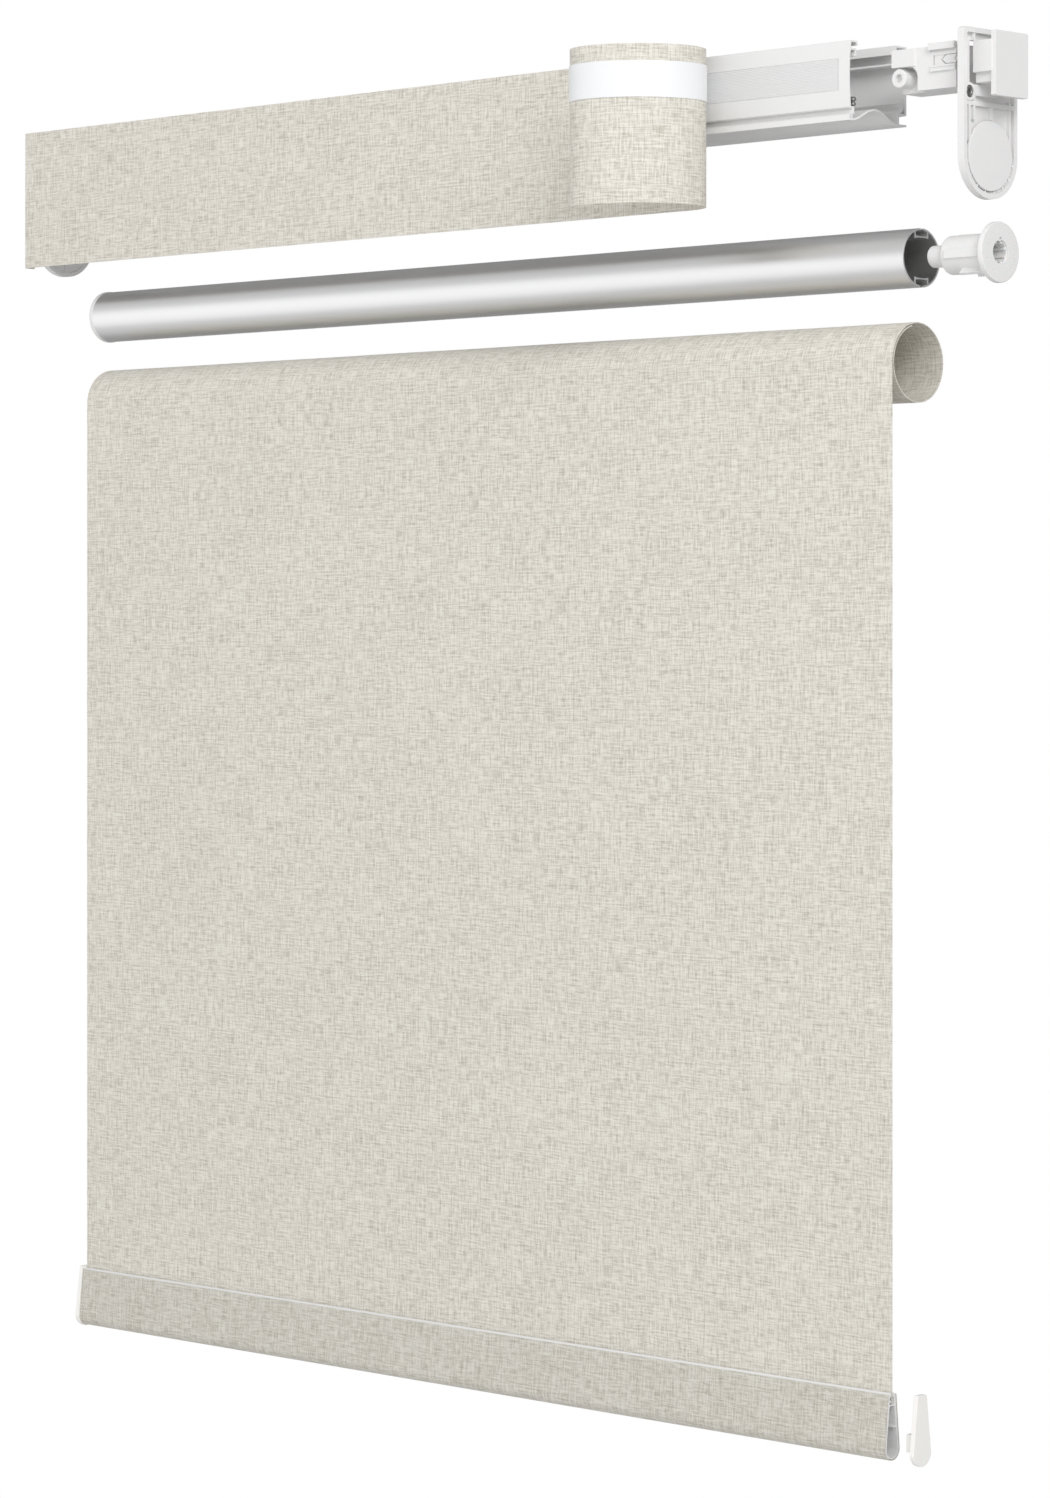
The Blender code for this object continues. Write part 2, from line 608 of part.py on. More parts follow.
def make_fabric():
    """One cloth: wound round from its free edge at the top, over the front and down to the bar."""
    turn, steps = 450, 50
    path = []
    for i in range(steps + 1):
        a = math.radians(90 + turn * i / steps)
        r = ROLL_R - CLOTH / 2 - TURN_STEP * max(0.0, 1 - i / steps * turn / 360)
        path.append((r * math.cos(a), r * math.sin(a)))
    end = BAR_TOP - 8.0 - ROLL_Z
    path += [(path[-1][0], -60.0), (path[-1][0], end)]
    keep("blind_fabric", along(BLIND_X0, BLIND_X1, ribbon(path, CLOTH), z=ROLL_Z), LINEN)


def make_bar():
    place = {"y": SHEET_Y, "z": BAR_TOP - BAR_TALL}
    skin, wall = 0.6, 1.1
    shell = skin + GAP
    bar_outer = teardrop(BAR_R - shell, BAR_TALL - 2 * shell, 4.6 - shell)
    outer = [(u, v + shell) for u, v in bar_outer]
    bar = keep("bottom_bar", along(BLIND_X0, BLIND_X1, outer, **place), PAINTED)
    ends = (BLIND_X0 - 1, BLIND_X1 + 1)
    chamber = [(u, v + shell + wall) for u, v in teardrop(BAR_R - shell - wall, BAR_TALL - 12, 2.6)]
    cut(bar, along(*ends, chamber, **place))
    top = BAR_TALL
    cut(bar, along(*ends, rectangle(-0.75, 0.75, top - 6, top + 2), **place))
    cut(bar, along(*ends, rectangle(-2.5, 1.2, top - 8.8, top - 4.4), **place))
    tab = rectangle(1.6, 5.0, 22.0, 23.2)
    join(bar, along(BLIND_X0, BLIND_X1, tab, **place))
    turned_rod = along(BLIND_X0 + 1, BLIND_X1 - 1, circle(-1.55, top - 6.6, 0.75, 12), **place)
    keep("cloth_keeper", turned_rod, WHITE)
    middle = teardrop(BAR_R - skin / 2, BAR_TALL - skin, 4.6 - skin / 2)
    path = [(u, v + skin / 2) for u, v in middle]
    split = [i for i, (u, v) in enumerate(path) if v > BAR_TALL - 5]
    ordered = path[split[-1] + 1:] + path[:split[-1] + 1]
    right = [p for p in ordered if p[0] > 0 and p[1] > BAR_TALL - 5][:5]
    left = [p for p in ordered if p[0] < 0 and p[1] > BAR_TALL - 5][-5:]
    foot = [p for p in ordered if p[1] <= BAR_TALL - 5]
    wrap = left + foot + right if left[0][0] > left[-1][0] else left[::-1] + foot + right
    keep("bar_sleeve", along(BLIND_X0, BLIND_X1, ribbon(wrap, skin), **place), LINEN)
    cap = [(u, v - 0.7) for u, v in teardrop(9.6, BAR_TALL + 1.4, 4.9)]
    for name, inner, side in (("bar_cap_left", BLIND_X0, -1), ("bar_cap_right", BLIND_X1 + CAP_OUT, 1)):
        made = keep(name, along(*spread(inner, side, GAP, 3.6 + GAP), cap, **place), IVORY)
        tongue = rectangle(-3.0, 3.0, 8.0, 20.0)
        join(made, along(*spread(inner, side, -8, GAP + 0.5), tongue, **place))


make_rail()
make_fascia()
make_valance()
make_rail_screw("rail_screw", RAIL_HALF - 2.6)
for end, inner, side, out in (("left", -RAIL_HALF - GAP, -1, 0.0), ("right", RAIL_HALF + GAP + END_OUT, 1, COVER_OUT)):
    make_end_plate(end + "_end_plate", inner, side)
    make_plate_screw(end + "_plate_screw", inner, side)
    make_pivot(end + "_pivot", inner, side, spline=side > 0)
    make_coupling(end + "_coupling_block", end + "_latch_slider", inner, side)
    make_cover(end + "_cover", inner, side, out)
make_tube()
make_plug()
make_spring_motor()
make_fabric()
make_bar()
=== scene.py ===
import json
import math

import bmesh
import bpy
from mathutils import Matrix, Vector, noise


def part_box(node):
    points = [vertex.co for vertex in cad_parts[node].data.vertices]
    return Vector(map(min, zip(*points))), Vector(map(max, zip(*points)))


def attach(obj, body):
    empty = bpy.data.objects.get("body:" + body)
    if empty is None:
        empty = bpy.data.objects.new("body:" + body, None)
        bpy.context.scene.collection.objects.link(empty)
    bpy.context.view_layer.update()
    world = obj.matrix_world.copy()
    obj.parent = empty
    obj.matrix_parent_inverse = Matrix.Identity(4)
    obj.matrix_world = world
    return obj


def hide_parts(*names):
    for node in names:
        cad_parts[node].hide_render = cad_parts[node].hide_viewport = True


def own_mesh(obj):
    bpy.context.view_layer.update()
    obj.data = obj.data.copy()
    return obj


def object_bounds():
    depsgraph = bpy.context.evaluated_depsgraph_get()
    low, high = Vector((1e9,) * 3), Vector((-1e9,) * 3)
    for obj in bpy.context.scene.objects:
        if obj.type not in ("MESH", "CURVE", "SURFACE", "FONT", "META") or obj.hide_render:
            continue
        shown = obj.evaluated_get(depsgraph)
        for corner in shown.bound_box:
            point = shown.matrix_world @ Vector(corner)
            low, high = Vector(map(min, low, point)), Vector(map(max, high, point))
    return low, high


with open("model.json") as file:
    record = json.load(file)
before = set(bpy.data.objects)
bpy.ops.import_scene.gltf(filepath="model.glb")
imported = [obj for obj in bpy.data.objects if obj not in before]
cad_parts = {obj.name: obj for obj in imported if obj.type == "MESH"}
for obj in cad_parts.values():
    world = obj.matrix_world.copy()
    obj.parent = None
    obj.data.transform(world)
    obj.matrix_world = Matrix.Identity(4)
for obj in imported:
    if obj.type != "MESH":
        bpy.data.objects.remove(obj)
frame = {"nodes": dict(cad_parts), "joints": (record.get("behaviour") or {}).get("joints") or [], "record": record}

cadBox = [list(corner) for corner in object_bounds()]
mm = 0.001
bodyOf = {node: body for body, nodes in frame["record"]["behaviour"]["bodies"].items() for node in nodes}

# the roller's axis in the closed head, and the places along the blind that the pieces start from
pivotLow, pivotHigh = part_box("right_pivot")
homeY, homeZ = (pivotLow.y + pivotHigh.y) / 2 / mm, (pivotLow.z + pivotHigh.z) / 2 / mm
railLow, railHigh = (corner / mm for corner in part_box("back_rail"))
tubeLow, tubeHigh = (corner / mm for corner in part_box("roller_tube"))
clothLow, clothHigh = (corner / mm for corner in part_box("blind_fabric"))
barLow, barHigh = (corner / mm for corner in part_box("bottom_bar"))
tubeZ = (tubeLow.z + tubeHigh.z) / 2
sheetY = clothLow.y + 0.4  # the middle of the hanging cloth


# shader maths

class Signal:  # a node's output that takes part in sums
    def __init__(self, tree, socket):
        self.tree, self.socket = tree, socket

    def sum(self, operation, first, second=0.0):
        node = self.tree.nodes.new("ShaderNodeMath")
        node.operation = operation
        for place, value in enumerate((first, second)):
            if isinstance(value, Signal):
                self.tree.links.new(value.socket, node.inputs[place])
            else:
                node.inputs[place].default_value = value
        return Signal(self.tree, node.outputs[0])

    def __add__(self, other):
        return self.sum("ADD", self, other)

    __radd__ = __add__

    def __sub__(self, other):
        return self.sum("SUBTRACT", self, other)

    def __rsub__(self, other):
        return self.sum("SUBTRACT", other, self)

    def __mul__(self, other):
        return self.sum("MULTIPLY", self, other)

    __rmul__ = __mul__

    def __pow__(self, other):
        return self.sum("POWER", self, other)

    def __gt__(self, other):
        return self.sum("GREATER_THAN", self, other)

    def sine(self):
        return self.sum("SINE", self)

    def cosine(self):
        return self.sum("COSINE", self)


class Finish:  # one material, its nodes added one at a time
    def __init__(self, name, color, roughness, metallic=0.0, **fixed):
        self.material = bpy.data.materials.new(name)
        self.material.use_nodes = True
        self.tree = self.material.node_tree
        self.shader = self.tree.nodes["Principled BSDF"]
        self.shader.inputs["Base Color"].default_value = (*color, 1)
        self.shader.inputs["Roughness"].default_value = roughness
        self.shader.inputs["Metallic"].default_value = metallic
        for key, value in fixed.items():
            self.shader.inputs[key].default_value = value

    def node(self, kind, settings=None, sockets=None, output=0):
        made = self.tree.nodes.new(kind)
        for key, value in (settings or {}).items():
            if key == "stops":
                for stop, (place, level) in zip(made.color_ramp.elements, value):
                    stop.position, stop.color = place, (level, level, level, 1)
            else:
                setattr(made, key, value)
        for key, value in (sockets or {}).items():
            self.feed(made.inputs[key], value)
        return Signal(self.tree, made.outputs[output])

    def feed(self, socket, value):
        if isinstance(value, Signal):
            self.tree.links.new(value.socket, socket)
        else:
            socket.default_value = value

    def set(self, **sockets):
        for key, value in sockets.items():
            self.feed(self.shader.inputs[key.replace("_", " ")], value)

    def mapped(self, vector, scale):
        return self.node("ShaderNodeMapping", {}, {"Vector": vector, "Scale": scale})

    def cloud(self, vector, scale, detail=2.0, rough=0.5):
        sockets = {"Vector": vector, "Scale": scale, "Detail": detail, "Roughness": rough}
        return self.node("ShaderNodeTexNoise", {}, sockets)

    def shades(self, factor, dark, light):
        return self.node("ShaderNodeMix", {"data_type": "RGBA"}, {0: factor, 6: (*dark, 1), 7: (*light, 1)}, 2)

    def bump(self, height, distance, strength=1.0):
        normal = self.node("ShaderNodeBump", {}, {"Height": height, "Distance": distance, "Strength": strength})
        self.feed(self.shader.inputs["Normal"], normal)

    def where(self):
        return self.node("ShaderNodeTexCoord", {}, {}, 3)


def tinted(color, factor):
    return tuple(channel * factor for channel in color)


weave = {
    "pitch": 0.62, "light": (0.82, 0.795, 0.725), "dark": (0.46, 0.42, 0.345), "middle": 0.66,
    "slubWide": 1.15, "slubLong": 11.0, "slubs": 1.9, "longSlubs": 0.75, "depth": 0.00014,
}


def makeLinen(name, shade=1.0):
    light, dark = tinted(weave["light"], shade), tinted(weave["dark"], shade)
    linen = Finish(name, light, 0.92, **{"Sheen Weight": 0.12, "Sheen Roughness": 0.5})
    cloth = linen.node("ShaderNodeAttribute", {"attribute_name": "cloth"}, {}, 1)
    drift = linen.node("ShaderNodeTexNoise", {}, {"Vector": cloth, "Scale": 0.09, "Detail": 3.0}, 1)
    offset = linen.node("ShaderNodeVectorMath", {"operation": "MULTIPLY_ADD"}, {0: drift, 1: (1.6, 1.6, 0), 2: cloth})
    across = linen.node("ShaderNodeSeparateXYZ", {}, {"Vector": offset}, 0)
    down = linen.node("ShaderNodeSeparateXYZ", {}, {"Vector": offset}, 1)
    turn = math.pi / weave["pitch"]
    # warp and weft peak on each thread's crown; besides the bump they are painted into the tone below as shade
    # between the threads
    warpTop = (across * turn).cosine() * (down * turn).cosine() > 0.0
    warp = ((across * turn).sine() ** 2.0) * warpTop
    weft = ((down * turn).sine() ** 2.0) * (1 - warpTop)
    wide, long = 1 / weave["slubWide"], 1 / weave["slubLong"]
    threads = linen.cloud(linen.mapped(cloth, (wide, long, 1)), 1.0, 3.0, 0.6)
    threads = threads + linen.cloud(linen.mapped(cloth, (long, wide, 1)), 1.0, 3.0, 0.6)
    longThreads = linen.cloud(linen.mapped(cloth, (0.75, 0.02, 1)), 1.0, 2.0, 0.5)
    longThreads = longThreads + linen.cloud(linen.mapped(cloth, (0.02, 0.75, 1)), 1.0, 2.0, 0.5)
    patch = linen.cloud(cloth, 0.013, 2.0)
    fleck = linen.cloud(cloth, 0.9, 2.0, 0.6)
    # each cloud is 0.5 on average
    tone = (threads - 1.0) * weave["slubs"] + (longThreads - 1.0) * weave["longSlubs"]
    # the (warp + weft) term is painted shade: darker between the threads, lighter on the thread crowns
    tone = tone + (patch - 0.5) * 0.15 + (fleck - 0.5) * 0.6 + weave["middle"] + (warp + weft) * 0.22 - 0.08
    tone = linen.node("ShaderNodeClamp", {}, {"Value": tone})
    linen.set(Base_Color=linen.shades(tone, dark, light))
    linen.set(Roughness=0.97 - tone * 0.1)
    linen.bump((warp + weft) * 0.7 + threads * 0.9, weave["depth"], 0.8)
    return linen.material


def makeMoulding(name, color, roughness):
    moulding = Finish(name, color, roughness, **{"IOR": 1.46, "Subsurface Weight": 0.04, "Subsurface Scale": 0.002})
    where = moulding.where()
    flow = moulding.cloud(where, 14.0, 3.0)
    grain = moulding.cloud(where, 3200.0, 2.0, 0.6)
    wear = moulding.cloud(where, 260.0, 4.0, 0.7)
    moulding.set(Base_Color=moulding.shades(flow * 0.6 + wear * 0.4, tinted(color, 0.965), tinted(color, 1.02)))
    moulding.set(Roughness=roughness - 0.08 + wear * 0.1 + grain * 0.06)
    moulding.bump(grain * 0.6 + wear * 0.4, 0.00004, 0.5)
    return moulding.material


def makePainted(name, color, roughness):
    painted = Finish(name, color, roughness, **{"Coat Weight": 0.12, "Coat Roughness": 0.25})
    where = painted.where()
    peel = painted.cloud(where, 900.0, 2.0, 0.5)
    drawn = painted.cloud(painted.mapped(where, (3, 700, 700)), 1.0, 2.0)
    tone = painted.cloud(where, 8.0, 2.0)
    painted.set(Base_Color=painted.shades(tone, tinted(color, 0.975), tinted(color, 1.015)))
    painted.set(Roughness=roughness - 0.06 + peel * 0.12)
    painted.bump(peel * 0.7 + drawn * 0.3, 0.00005, 0.4)
    return painted.material


def makeDrawnMetal(name, color, roughness, alongScale=4.0, grain=1.0):
    metal = Finish(name, color, roughness, 1.0)
    where = metal.where()
    lines = metal.cloud(metal.mapped(where, (alongScale, 1600, 1600)), 1.0, 4.0, 0.6)
    haze = metal.cloud(metal.mapped(where, (9, 30, 30)), 1.0, 3.0)
    scuff = metal.cloud(where, 140.0, 5.0, 0.7)
    factor = (lines * 0.6 + haze * 0.4 - 0.5) * grain + 0.5
    metal.set(Base_Color=metal.shades(factor, tinted(color, 0.93), tinted(color, 1.03)))
    metal.set(Roughness=roughness + ((lines + haze) * 0.08 - 0.07 + (scuff > 0.66) * 0.05) * grain)
    metal.bump(lines, 0.00002 * grain, 0.35 * grain)
    return metal.material


def makeTape():
    tape = Finish("tape", (0.86, 0.87, 0.88), 0.5, **{"Sheen Weight": 0.2})
    cloth = tape.node("ShaderNodeAttribute", {"attribute_name": "cloth"}, {}, 1)
    ribs = tape.cloud(tape.mapped(cloth, (3.4, 0.5, 1)), 1.0, 2.0)
    fluff = tape.cloud(cloth, 2.2, 3.0, 0.7)
    tape.set(Base_Color=tape.shades(ribs * 0.5 + fluff * 0.5, (0.78, 0.79, 0.8), (0.91, 0.92, 0.93)))
    tape.bump(ribs * 0.6 + fluff * 0.6, 0.0002, 0.7)
    return tape.material


def makeGrip():
    grip = Finish("gripStrip", (0.74, 0.74, 0.742), 0.6)
    where = grip.where()
    grain = grip.cloud(where, 2400.0, 3.0, 0.6)
    streak = grip.cloud(grip.mapped(where, (40, 900, 900)), 1.0, 2.0)
    grip.set(Base_Color=grip.shades(streak * 0.5 + grain * 0.5, (0.71, 0.71, 0.712), (0.77, 0.77, 0.772)))
    grip.bump(grain, 0.00006, 0.5)
    return grip.material


linen = makeLinen("linen")
shadedSleeveLinen = makeLinen("shadedSleeveLinen", 0.87)  # a darker copy of the same linen: painted shade for one ply over metal, which reads darker
white = makeMoulding("whiteMoulding", (0.795, 0.793, 0.788), 0.42)
clearWhite = makeMoulding("keeperMoulding", (0.80, 0.81, 0.81), 0.3)
ivory = makeMoulding("ivoryMoulding", (0.93, 0.915, 0.885), 0.48)
painted = makePainted("paintedAluminium", (0.80, 0.80, 0.797), 0.38)
satin = makeDrawnMetal("satinAluminium", (0.77, 0.77, 0.772), 0.36, grain=0.35)
bore = makeDrawnMetal("tubeBore", (0.60, 0.60, 0.59), 0.6)
steel = makeDrawnMetal("screwSteel", (0.30, 0.30, 0.30), 0.32, 900.0)
springSteel = makeDrawnMetal("springSteel", (0.42, 0.42, 0.43), 0.34, 600.0)
tape = makeTape()
gripFinish = makeGrip()
print("materials made")


# outlines, as lists of (u, v) in millimetres

def arc(u, v, radius, start, end, steps):
    turns = [math.radians(start + (end - start) * i / steps) for i in range(steps + 1)]
    return [(u + radius * math.cos(a), v + radius * math.sin(a)) for a in turns]


def circle(u, v, radius, steps=64):
    return arc(u, v, radius, 0, 360 - 360 / steps, steps - 1)


def lobed(radius, depth, lobes, steps=96):
    spots = []
    for i in range(steps):
        a = 2 * math.pi * i / steps
        r = radius + depth * math.cos(lobes * a)
        spots.append((r * math.cos(a), r * math.sin(a)))
    return spots


def block(u0, u1, v0, v1):
    return [(u0, v0), (u1, v0), (u1, v1), (u0, v1)]


def softBlock(u0, u1, v0, v1, r, steps=5):
    spots = arc(u1 - r, v0 + r, r, 270, 360, steps) + arc(u1 - r, v1 - r, r, 0, 90, steps)
    return spots + arc(u0 + r, v1 - r, r, 90, 180, steps) + arc(u0 + r, v0 + r, r, 180, 270, steps)


def moved(path, distance):
    # the path moved to its left, its corners mitred
    spots = []
    for i in range(len(path)):
        legs = []
        for a, b in ((i - 1, i), (i, i + 1)):
            if 0 <= a and b < len(path):
                du, dv = path[b][0] - path[a][0], path[b][1] - path[a][1]
                size = math.hypot(du, dv)
                legs.append((-dv / size, du / size))
        nu, nv = sum(n[0] for n in legs), sum(n[1] for n in legs)
        reach = distance / (nu * legs[0][0] + nv * legs[0][1])
        spots.append((path[i][0] + nu * reach, path[i][1] + nv * reach))
    return spots


def ribbon(path, thick):
    return moved(path, -thick / 2) + moved(path, thick / 2)[::-1]


def turnedAbout(spots, degrees):
    a = math.radians(degrees)
    return [(u * math.cos(a) - v * math.sin(a), u * math.sin(a) + v * math.cos(a)) for u, v in spots]


# solids

alongX = Matrix(((0, 0, 1, 0), (1, 0, 0, 0), (0, 1, 0, 0), (0, 0, 0, 1)))
alongY = Matrix(((0, 1, 0, 0), (0, 0, 1, 0), (1, 0, 0, 0), (0, 0, 0, 1)))
home = (homeY, homeZ)


def extrude(loops, low, high, way=alongX, centre=(0, 0)):
    curve = bpy.data.curves.new("outline", "CURVE")
    curve.dimensions = "2D"
    curve.fill_mode = "BOTH"
    curve.extrude = (high - low) / 2
    for loop in loops:
        spline = curve.splines.new("POLY")
        spline.points.add(len(loop) - 1)
        for spot, (u, v) in zip(spline.points, loop):
            spot.co = (u + centre[0], v + centre[1], 0, 1)
        spline.use_cyclic_u = True
    holder = bpy.data.objects.new("outline", curve)
    bpy.context.scene.collection.objects.link(holder)
    mesh = bpy.data.meshes.new_from_object(holder.evaluated_get(bpy.context.evaluated_depsgraph_get()))
    bpy.data.objects.remove(holder, do_unlink=True)
    bpy.data.curves.remove(curve)
    shape = bmesh.new()
    shape.from_mesh(mesh)
    bmesh.ops.remove_doubles(shape, verts=shape.verts, dist=1e-3)
    bmesh.ops.dissolve_limit(shape, angle_limit=0.002, verts=shape.verts, edges=shape.edges)
    bmesh.ops.recalc_face_normals(shape, faces=shape.faces)
    shape.to_mesh(mesh)
    shape.free()
    mesh.transform(Matrix.Scale(mm, 4) @ way @ Matrix.Translation((0, 0, (low + high) / 2)))
    return mesh


def turned(profile, centre, way=alongX, steps=96, closed=False):
    # profile is (radius, place along the axis); a closed profile is a ring
    shape = bmesh.new()
    rings = []
    for radius, place in profile:
        if radius < 1e-6:
            rings.append([shape.verts.new((0, 0, place))])
        else:
            turns = [2 * math.pi * i / steps for i in range(steps)]
            rings.append([shape.verts.new((radius * math.cos(a), radius * math.sin(a), place)) for a in turns])
    pairs = list(zip(rings, rings[1:])) + ([(rings[-1], rings[0])] if closed else [])
    for one, two in pairs:
        if len(one) == 1 and len(two) == 1:
            continue
        for i in range(steps):
            j = (i + 1) % steps
            corners = [one[0]] if len(one) == 1 else [one[i], one[j]]
            corners += [two[0]] if len(two) == 1 else [two[j], two[i]]
            shape.faces.new(corners)
    bmesh.ops.recalc_face_normals(shape, faces=shape.faces)
    mesh = bpy.data.meshes.new("turned")
    shape.to_mesh(mesh)
    shape.free()
    mesh.transform(Matrix.Scale(mm, 4) @ Matrix.Translation(centre) @ way)
    return mesh


def settle(obj):
    # the mesh with its modifiers worked in
    bpy.context.view_layer.update()
    graph = bpy.context.evaluated_depsgraph_get()
    mesh = bpy.data.meshes.new_from_object(obj.evaluated_get(graph), preserve_all_data_layers=True, depsgraph=graph)
    obj.modifiers.clear()
    obj.data = mesh
    return obj


def build(name, base, add=(), cut=(), rounding=0.0, angle=38.0, shadeAngle=32.0):
    obj = bpy.data.objects.new(name, base)
    bpy.context.scene.collection.objects.link(obj)
    helpers = []
    for meshes, operation in ((add, "UNION"), (cut, "DIFFERENCE")):
        for mesh in meshes:
            helper = bpy.data.objects.new(name + "Helper", mesh)
            bpy.context.scene.collection.objects.link(helper)
            helpers.append(helper)
            modifier = obj.modifiers.new(operation, "BOOLEAN")
            modifier.operation = operation
            modifier.solver = "EXACT"
            modifier.object = helper
    settle(obj)
    for helper in helpers:
        bpy.data.objects.remove(helper, do_unlink=True)
    shape = bmesh.new()
    shape.from_mesh(obj.data)
    bmesh.ops.remove_doubles(shape, verts=shape.verts, dist=2e-6)
    bmesh.ops.dissolve_degenerate(shape, edges=shape.edges, dist=2e-6)
    shape.to_mesh(obj.data)
    shape.free()
    if rounding:
        bevel = obj.modifiers.new("round", "BEVEL")
        bevel.width = rounding * mm
        bevel.segments = 3
        bevel.limit_method = "ANGLE"
        bevel.angle_limit = math.radians(angle)
        bevel.use_clamp_overlap = True
        settle(obj)
    obj.data.shade_smooth()
    obj.data.set_sharp_from_angle(angle=math.radians(shadeAngle))
    level = obj.modifiers.new("level", "WEIGHTED_NORMAL")
    level.keep_sharp = True
    settle(obj)
    return obj


def fit(obj, finish, *nodes):
    # gives the piece its finish and its place in the frame
    obj.data.materials.clear()
    for entry in finish if isinstance(finish, tuple) else (finish,):
        obj.data.materials.append(entry)
    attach(obj, bodyOf[nodes[0]])
    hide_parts(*nodes)
    return obj


# cloth

def clothSheet(name, spots, low, high, rows, thick, way, stray=0.0, seed=0.0, start=0.0):
    # spots is the path that the cloth follows; it is drawn between low and high along its other side.
    # start is how far along the cloth the path begins
    shape = bmesh.new()
    layer = shape.verts.layers.float_vector.new("cloth")
    run, grid = 0.0, []
    for i, (u, v) in enumerate(spots):
        if i:
            run += math.hypot(u - spots[i - 1][0], v - spots[i - 1][1])
        line = []
        for j in range(rows + 1):
            w = low + (high - low) * j / rows
            wave = Vector((run / 90.0, w / 90.0, seed))
            du, dv = noise.noise(wave) * stray, noise.noise(wave + Vector((7, 3, 5))) * stray
            vert = shape.verts.new((u + du, v + dv, w))
            vert[layer] = (w - low, start + run, 0) if way == alongX else (start + run, w - low, 0)
            line.append(vert)
        grid.append(line)
    for one, two in zip(grid, grid[1:]):
        for j in range(rows):
            shape.faces.new((one[j], one[j + 1], two[j + 1], two[j]))
    mesh = bpy.data.meshes.new(name)
    shape.to_mesh(mesh)
    shape.free()
    mesh.transform(Matrix.Scale(mm, 4) @ (Matrix.Identity(4) if way == "up" else way))
    obj = bpy.data.objects.new(name, mesh)
    bpy.context.scene.collection.objects.link(obj)
    solidify = obj.modifiers.new("thick", "SOLIDIFY")
    solidify.thickness = thick * mm
    solidify.offset = 0
    settle(obj)
    obj.data.shade_smooth()
    obj.data.set_sharp_from_angle(angle=math.radians(50))
    return obj, run


def finely(path, step):
    spots = [path[0]]
    for (u0, v0), (u1, v1) in zip(path, path[1:]):
        count = max(1, round(math.hypot(u1 - u0, v1 - v0) / step))
        spots += [(u0 + (u1 - u0) * i / count, v0 + (v1 - v0) * i / count) for i in range(1, count + 1)]
    return spots


valance = {
    "thick": 0.6, "return": 10.0, "bend": 1.6, "out": 2.0, "above": 29.0, "below": -80.0,
    "curlX": 272.3, "curlLong": 46.9, "curlShort": 36.6, "curlLean": 43.9, "curlStart": -39.0, "curlEnd": 185.0,
    "tapeTall": 25.0, "tapeBelowTop": 11.7, "tapeThick": 0.5, "tapeIn": 12.0,
}


def curlLine(front, steps=90):
    # the peeled end in plan: part of an ellipse whose long axis leans back from the rail
    lean = math.radians(valance["curlLean"])
    spots = []
    for i in range(steps + 1):
        a = math.radians(valance["curlStart"] + (valance["curlEnd"] - valance["curlStart"]) * i / steps)
        long, short = valance["curlLong"] * math.cos(a), valance["curlShort"] * math.sin(a)
        spots.append((valance["curlX"] + long * math.cos(lean) + short * math.sin(lean),
                      long * math.sin(lean) - short * math.cos(lean)))
    shift = front - spots[0][1]
    return [(x, y + shift) for x, y in spots]


def makeValance():
    front = railLow.y - valance["out"]
    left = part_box("valance")[0].x / mm + 0.4
    bend, above, below = valance["bend"], valance["above"], valance["below"]
    curl = curlLine(front)
    corner = [(left, front + valance["return"])] + arc(left + bend, front + bend, bend, 180, 270, 6)[:-1]
    spots = corner + finely([(left + bend, front), curl[0]], 9.0)[:-1] + curl
    strip, length = clothSheet("valanceCloth", spots, below, above, 14, valance["thick"], "up", 0.12)
    fit(strip, linen, "valance")
    off = (valance["thick"] + valance["tapeThick"]) / 2 + 0.1
    top = above - valance["tapeBelowTop"]
    under = moved(finely([(left + valance["tapeIn"], front), curl[0]], 9.0)[:-1] + curl, off)
    band, length = clothSheet("valanceTape", under, top - valance["tapeTall"], top, 4, valance["tapeThick"], "up")
    fit(band, tape, "valance_tape")


roll = {"radius": 28.0, "thick": 0.6, "turn": 436.0, "step": 1.6}
rollZ = clothHigh.z - roll["radius"]


def makeBlindCloth():
    centreY, width = clothLow.y + roll["radius"], clothHigh.x - clothLow.x
    steps = 130
    wound = []
    for i in range(steps + 1):
        left = roll["turn"] * (1 - i / steps)  # degrees still to go before the cloth hangs
        r = roll["radius"] - 0.4 - roll["step"] * max(0.0, left / 360 - 0.02)
        wound.append((centreY - r * math.cos(math.radians(left)), rollZ + r * math.sin(math.radians(left))))
    coil, length = clothSheet("clothRoll", wound, clothLow.x, clothHigh.x, 90, roll["thick"], alongX, 0.18, 4.0)
    fit(coil, linen, "blind_fabric")
    line = finely([(wound[-1][0], rollZ), (wound[-1][0], clothLow.z)], 9.0)
    hang, drop = clothSheet("clothDrop", line, clothLow.x, clothHigh.x, 90, roll["thick"], alongX, start=length)
    fit(hang, linen, "blind_fabric")
    travel = next(-j["range_m"][0] for j in frame["joints"] if j["name"] == "blind_raise") / mm
    (drop - travel) / drop
    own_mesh(hang)


makeValance()
makeBlindCloth()
print("cloth hung")


# head rail

rail = {
    "wall": 1.3, "back": 30.8, "front": -30.6, "floor": 29.85, "top": 83.35,
    "rise": 8.2, "span": 50.0, "archAt": -3.0,  # the arch in the rail's floor
}


def archLine(steps=40):
    half = rail["span"] / 2
    ys = [half - rail["span"] * i / steps for i in range(steps + 1)]
    return [(y + rail["archAt"], rail["floor"] + rail["rise"] / 2 * (1 + math.cos(math.pi * y / half))) for y in ys]


